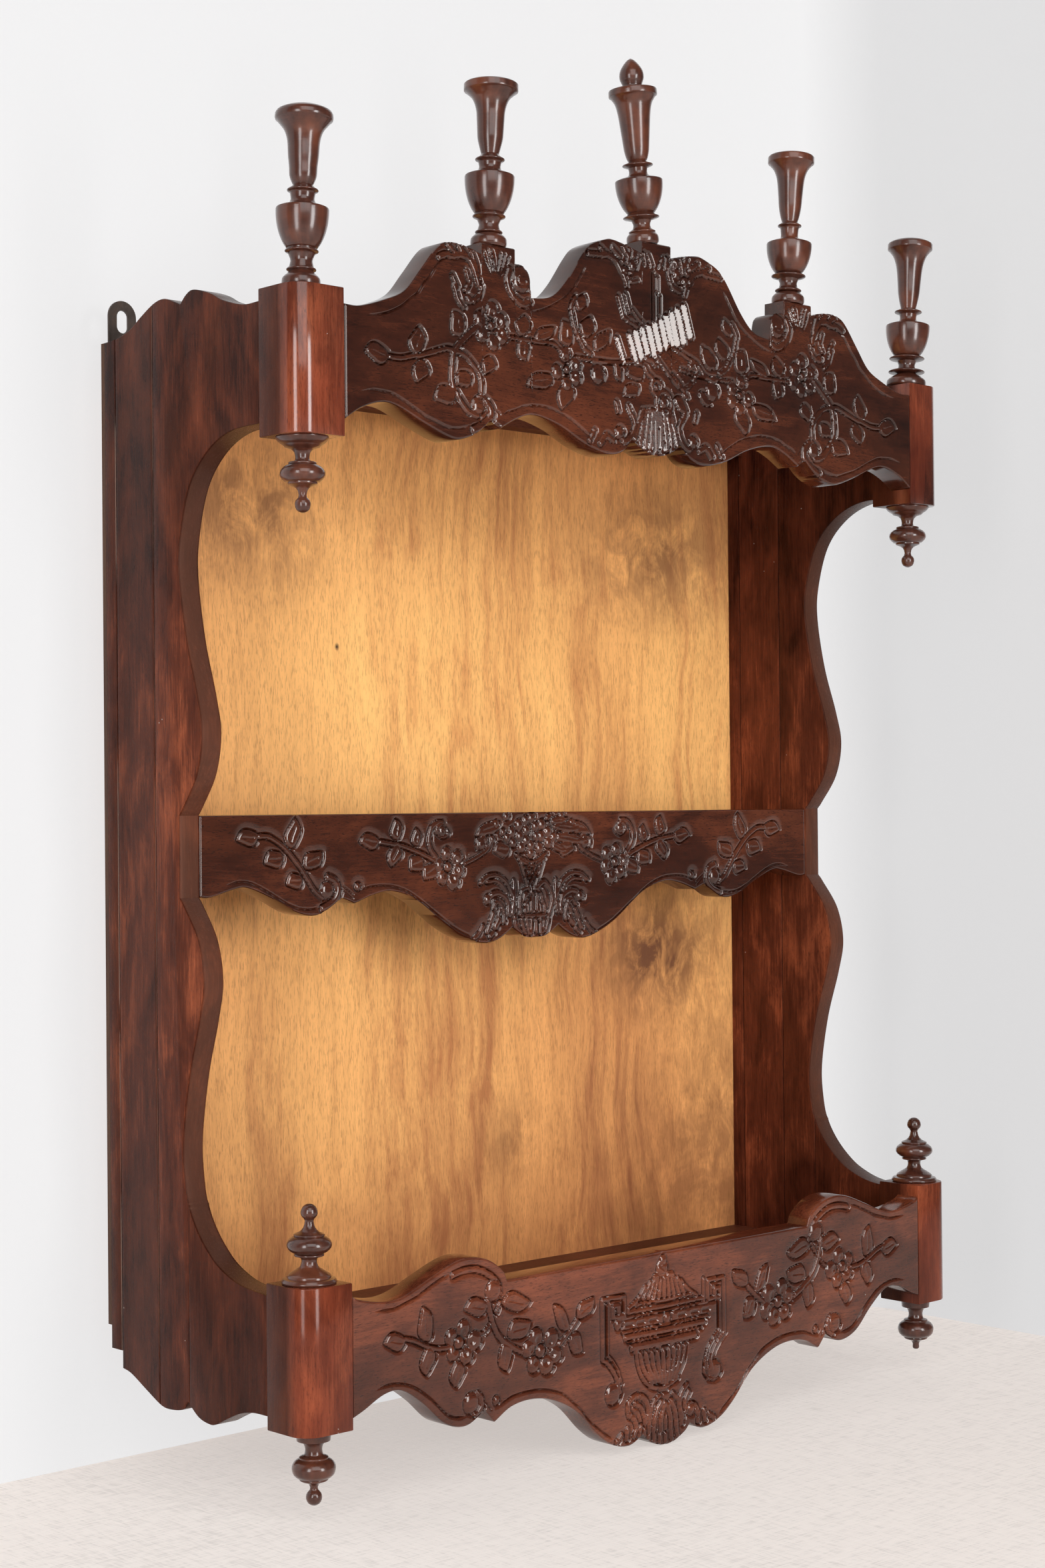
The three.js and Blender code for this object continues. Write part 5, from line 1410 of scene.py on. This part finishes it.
# One operator for each piece or group of like pieces.
class RACK_OT_crest_rail(bpy.types.Operator):
    """Make the carved crest rail"""

    bl_idname = "rack.crest_rail"
    bl_label = "Crest rail"

    def execute(self, context):
        sizes, _ = settings()
        inner, outer, plinth_top = CREST_PLINTH
        top = np.vstack([
            smooth(CREST_OUTER_TOP), [(outer, plinth_top), (inner, plinth_top)], smooth(CREST_SCROLL_TOP),
            smooth(CREST_INNER_TOP), [(CENTRE_PLINTH[1], CENTRE_PLINTH[2]), (0, CENTRE_PLINTH[2])],
        ])
        # The crest's outline steps at both sides of each plinth and at the end of the scroll.
        places = (outer + 0.05, inner - 0.05, CREST_INNER_TOP[0][0] + 0.1, CENTRE_PLINTH[1] + 0.05)
        steps = [side * place for side, _ in SIDES for place in places]
        wood = polished_walnut(
            "crest_walnut", "x", 0.86, 0.12, (0, 0, 3), contrast=0.7, coat=0.4, kind="carved",
        )
        carved_rail(
            "crest_rail", FRONT, rail_columns(POST_INNER, steps, 690), 136, mirrored(top),
            mirrored(curve(CREST_BOTTOM)), carve_crest, sizes, wood,
        )
        return {"FINISHED"}


class RACK_OT_middle_rail(bpy.types.Operator):
    """Make the carved middle rail"""

    bl_idname = "rack.middle_rail"
    bl_label = "Middle rail"

    def execute(self, context):
        sizes, _ = settings()
        top = mirrored([(SIDE_INNER, MIDDLE_TOP), (0, MIDDLE_TOP)])
        wood = polished_walnut(
            "middle_walnut", "x", 0.95, 0.12, (0, 0, 7), contrast=0.7, coat=0.4, kind="carved",
        )
        carved_rail(
            "middle_rail", MIDDLE_FRONT, rail_columns(SIDE_INNER - GAP, [], 860), 108, top,
            mirrored(curve(MIDDLE_BOTTOM)), carve_middle, sizes, wood,
        )
        return {"FINISHED"}


class RACK_OT_bottom_rail(bpy.types.Operator):
    """Make the carved bottom rail"""

    bl_idname = "rack.bottom_rail"
    bl_label = "Bottom rail"

    def execute(self, context):
        sizes, _ = settings()
        wood = polished_walnut(
            "bottom_walnut", "x", 1.7, 0.12, (0, 0, 11), contrast=0.6, coat=0.15, kind="carved",
        )
        carved_rail(
            "bottom_rail", FRONT, rail_columns(POST_INNER, [], 690), 134, mirrored(curve(BOTTOM_TOP)),
            mirrored(curve(BOTTOM_BOTTOM)), carve_bottom, sizes, wood,
        )
        return {"FINISHED"}


class RACK_OT_sides(bpy.types.Operator):
    """Make the boards of the two sides"""

    bl_idname = "rack.sides"
    bl_label = "Side boards"

    def execute(self, context):
        sizes, _ = settings()
        top, bottom = curve(SIDE_TOP), curve(SIDE_BOTTOM)
        upper, lower = smooth(SIDE_FRONT_UPPER, 8), smooth(SIDE_FRONT_LOWER, 8)
        wing_end, rear_start, rear_end = WING_SPLIT - GAP, REAR_SPLIT + GAP, STRIP_SPLIT - GAP
        above = [tuple(p) for p in lower if p[1] > WING_TOP]
        below = [tuple(p) for p in lower if p[1] < WING_TOP and p[0] < wing_end]
        front = (
            clip_line(top, POST_BACK, REAR_SPLIT) + clip_line(bottom, WING_SPLIT, REAR_SPLIT)[::-1]
            + [(WING_SPLIT, WING_TOP)] + above[::-1] + [tuple(p) for p in upper]
        )
        wing = clip_line(bottom, POST_BACK, wing_end)[::-1] + below[::-1]
        wing += [(wing_end, WING_TOP - WING_DROP)]
        rear = clip_line(top, rear_start, rear_end) + clip_line(bottom, rear_start, rear_end)[::-1]
        strip = clip_line(top, STRIP_SPLIT, PANEL_FRONT)
        strip += [(PANEL_FRONT, STRIP_FOOT), (STRIP_SPLIT, STRIP_FOOT)]
        # Each board's outline, arris, tone on the left and on the right, and shift of the grain.
        boards = {
            "side_front_board": (front, sizes.board_arris, (2.15, 1.9), (5, 0, 0)),
            "side_lower_wing": (wing, sizes.board_arris, (1.5, 1.8), (9, 0, 0)),
            "side_rear_board": (rear, sizes.board_arris, (1.6, 2.6), (13, 0, 0)),
            "side_rear_strip": (strip, 0.0008, (1.5, 2.2), (17, 0, 0)),
        }
        for k, (flip, side) in enumerate(SIDES):
            for name, (outline, arris, tones, shift) in boards.items():
                wood = polished_walnut(f"{name}_{side}_walnut", "z", tones[k], 0.26, shift, kind="board")
                bm = side_board(outline, arris, flip)
                put_piece(bm, f"{name}_{side}_shaped", [f"{name}_{side}"], wood)
        return {"FINISHED"}


class RACK_OT_posts(bpy.types.Operator):
    """Make the four posts"""

    bl_idname = "rack.posts"
    bl_label = "Posts"

    def execute(self, context):
        sizes, _ = settings()
        wood = polished_walnut("post_walnut", "z", 2.1, 0.25, (21, 0, 0), contrast=0.8, kind="post")
        for name in [f"{level}_post_{side}" for _, side in SIDES for level in ("upper", "lower")]:
            low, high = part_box(name)
            bm = bmesh.new()
            bmesh.ops.create_cube(bm, size=1)
            bmesh.ops.scale(bm, vec=high - low, verts=bm.verts)
            bmesh.ops.translate(bm, vec=(high + low) / 2, verts=bm.verts)
            outer_front = [
                e for e in bm.edges
                if all(abs(v.co.x) > POST_X * MM and v.co.y < POST_Y * MM for v in e.verts)
            ]
            round_edges(bm, outer_front, sizes.post_round, segments=10)
            bmesh.ops.recalc_face_normals(bm, faces=bm.faces)
            sharp = [e for e in bm.edges if e.calc_face_angle(0) > 0.6]
            round_edges(bm, sharp, 0.0009, segments=2)
            put_piece(bm, f"{name}_rounded", [name], wood)
        return {"FINISHED"}


class RACK_OT_finials(bpy.types.Operator):
    """Turn the five tall finials and the two short ones"""

    bl_idname = "rack.finials"
    bl_label = "Finials"

    def execute(self, context):
        for name, (seat, lean, runs) in FINIALS.items():
            turned_piece(name, joined(runs), seat, lean)
        for flip, side in SIDES:
            seat = (flip * POST_X, POST_Y, LOWER_POST_HEAD)
            turned_piece(f"lower_finial_{side}", LOWER_FINIAL, seat, lean=0.01)
        return {"FINISHED"}


class RACK_OT_pendants(bpy.types.Operator):
    """Turn the four pendants, of which the lower right one has lost its ball"""

    bl_idname = "rack.pendants"
    bl_label = "Pendants"

    def execute(self, context):
        for flip, side in SIDES:
            seat = (flip * POST_X, POST_Y, UPPER_POST_FOOT)
            turned_piece(f"upper_pendant_{side}", UPPER_PENDANT, seat, lean=0.0, upward=-1)
            end, shift = LOWER_ENDS[side]
            seat = (flip * POST_X + shift, POST_Y, -FOOT)
            turned_piece(f"lower_pendant_{side}", LOWER_PENDANT + end, seat, lean=0.0, upward=-1)
        return {"FINISHED"}


def refinish(name, material):
    """Gives its finish to a CAD solid that keeps its drawn shape."""
    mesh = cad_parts[name].data
    mesh.materials.clear()
    mesh.materials.append(material)


class RACK_OT_inner_parts(bpy.types.Operator):
    """Finish the shelves, the top back rail and the back panel, which keep their drawn shapes"""

    bl_idname = "rack.inner_parts"
    bl_label = "Shelves and panel"

    def execute(self, context):
        _, colours = settings()
        inner = colours.inner[:]
        tones = [shade(inner, 0.45), inner, shade(inner, 1.8)]
        shelf = walnut_look("shelf_wood", "x", tones, 0.45, (0, 0, 17), contrast=0.8)
        for name in ("middle_shelf", "bottom_shelf", "top_back_rail"):
            refinish(name, shelf)
        refinish("back_panel", panel_look(colours))
        return {"FINISHED"}


class RACK_OT_metalwork(bpy.types.Operator):
    """Finish the hanging plates, their screws and the nails"""

    bl_idname = "rack.metalwork"
    bl_label = "Plates, screws and nails"

    def execute(self, context):
        _, colours = settings()
        steel = steel_look(colours)
        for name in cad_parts:
            if name.startswith(("hanging_plate", "plate_screw", "nail_")):
                refinish(name, steel)
        return {"FINISHED"}


class RACK_OT_stage(bpy.types.Operator):
    """Make the wall, the table, the lamps and the camera"""

    bl_idname = "rack.stage"
    bl_label = "Stage"

    def execute(self, context):
        sizes, colours = settings()
        scene = bpy.context.scene
        scene.view_settings.view_transform = "Standard"
        self.backdrop(sizes, colours)
        self.lamps(scene)
        self.camera(scene)
        return {"FINISHED"}

    def backdrop(self, sizes, colours):
        """The walls, which meet in a rounded corner, and the table."""
        bm = bmesh.new()
        corners = [(WALL_LEFT, WALL_DEPTH), (CORNER_X, WALL_DEPTH), (CORNER_X, SIDE_WALL_END)]
        verts = [bm.verts.new((x, y, WALL_FOOT)) for x, y in corners]
        edges = [bm.edges.new(pair) for pair in zip(verts, verts[1:])]
        grown = bmesh.ops.extrude_edge_only(bm, edges=edges)["geom"]
        raised = [g for g in grown if isinstance(g, bmesh.types.BMVert)]
        bmesh.ops.translate(bm, verts=raised, vec=(0, 0, WALL_HEIGHT))
        turn = [e for e in bm.edges if all(abs(v.co.x - CORNER_X) < 1e-4 and v.co.y > 0 for v in e.verts)]
        round_edges(bm, turn, CORNER_ROUND, segments=12)
        bmesh.ops.reverse_faces(bm, faces=bm.faces)
        self.open_wall(bm, *OPENING)
        self.stand("wall", bm, wall_look(colours))
        bm = bmesh.new()
        bmesh.ops.create_grid(bm, x_segments=2, y_segments=2, size=TABLE_HALF)
        bmesh.ops.translate(bm, verts=bm.verts, vec=(0, 0, sizes.floor_drop))
        self.stand("table", bm, cloth_look(colours))

    def open_wall(self, bm, half_width, half_height):
        """Cuts an opening behind the back panel, through which a lamp lights the rack's back."""
        for side in (-1, 1):
            for across, half in ((Vector((1, 0, 0)), half_width), (Vector((0, 0, 1)), half_height)):
                everything = bm.verts[:] + bm.edges[:] + bm.faces[:]
                bmesh.ops.bisect_plane(bm, geom=everything, plane_co=across * half * side, plane_no=across)
        middles = [(face, face.calc_center_median()) for face in bm.faces]
        behind = [face for face, at in middles if abs(at.x) < half_width and abs(at.z) < half_height]
        bmesh.ops.delete(bm, geom=behind, context="FACES")

    def stand(self, name, bm, material):
        """Turns a bmesh in metres into a piece of the stage."""
        mesh = bpy.data.meshes.new(name)
        bm.to_mesh(mesh)
        bm.free()
        mesh.polygons.foreach_set("use_smooth", [True] * len(mesh.polygons))
        mesh.materials.append(material)
        piece = bpy.data.objects.new(name, mesh)
        bpy.context.scene.collection.objects.link(piece)

    def lamps(self, scene):
        """The lamps, which aim at the rack, and the room's pale light."""
        for name, (azimuth, distance, height, width, length, power) in LAMPS.items():
            data = bpy.data.lights.new(name, "AREA")
            data.shape = "RECTANGLE"
            data.size, data.size_y, data.energy = width, length, power
            lamp = bpy.data.objects.new(name, data)
            angle = math.radians(azimuth)
            lamp.location = (distance * math.sin(angle), LAMP_AIM[1] - distance * math.cos(angle), height)
            aim = Vector(LAMP_AIM) - lamp.location
            lamp.rotation_euler = aim.to_track_quat("-Z", "Y").to_euler()
            scene.collection.objects.link(lamp)
        world = bpy.data.worlds.new("pale room")
        world.use_nodes = True
        room = Nodes(world.node_tree)
        light = room.node("ShaderNodeBackground", {}, {"Color": (1.0, 0.95, 0.9, 1), "Strength": 0.08})
        seen = room.node("ShaderNodeBackground", {}, {"Color": (0.86, 0.86, 0.87, 1)})
        mixed = room.node("ShaderNodeMixShader", {}, {0: room.seen_rays(0.05), 1: light, 2: seen})
        room.tree.links.new(mixed.socket, room.tree.nodes["World Output"].inputs[0])
        scene.world = world

    def camera(self, scene):
        """The camera, in front of the rack and to its left."""
        data = bpy.data.cameras.new("camera")
        data.lens = FOCAL_PIXELS / FRAME_PIXELS * SENSOR
        data.sensor_fit = "AUTO"
        data.sensor_width = SENSOR
        camera = bpy.data.objects.new("camera", data)
        turn = Matrix.Identity(3)
        for angle, axis in CAMERA_TURNS:
            turn = turn @ Matrix.Rotation(angle, 3, axis)
        right, forward, up = (turn @ Vector(axis) for axis in ((1, 0, 0), (0, 1, 0), (0, 0, 1)))
        facing = Matrix((right, up, -forward)).transposed().to_4x4()
        camera.matrix_world = Matrix.Translation(CAMERA_PLACE) @ facing
        scene.collection.objects.link(camera)
        scene.camera = camera


OPERATORS = (
    RACK_OT_crest_rail, RACK_OT_middle_rail, RACK_OT_bottom_rail, RACK_OT_sides, RACK_OT_posts,
    RACK_OT_finials, RACK_OT_pendants, RACK_OT_inner_parts, RACK_OT_metalwork, RACK_OT_stage,
)


class RACK_PT_panel(bpy.types.Panel):
    """Lists the rack's pieces, sizes and colours"""

    bl_label = "Plate rack"
    bl_idname = "RACK_PT_panel"
    bl_space_type = "VIEW_3D"
    bl_region_type = "UI"
    bl_category = "Plate rack"

    def draw(self, context):
        for group in (context.scene.rack_sizes, context.scene.rack_colours):
            for name in group.__annotations__:
                self.layout.prop(group, name)
        for operator in OPERATORS:
            self.layout.operator(operator.bl_idname)


CLASSES = (RackSizes, RackColours, *OPERATORS, RACK_PT_panel)


def register():
    for cls in CLASSES:
        bpy.utils.register_class(cls)
    bpy.types.Scene.rack_sizes = PointerProperty(type=RackSizes)
    bpy.types.Scene.rack_colours = PointerProperty(type=RackColours)


def unregister():
    del bpy.types.Scene.rack_colours
    del bpy.types.Scene.rack_sizes
    for cls in reversed(CLASSES):
        bpy.utils.unregister_class(cls)


def main():
    register()
    for operator in OPERATORS:
        group, name = operator.bl_idname.split(".")
        getattr(getattr(bpy.ops, group), name)()


if __name__ == "__main__":
    main()
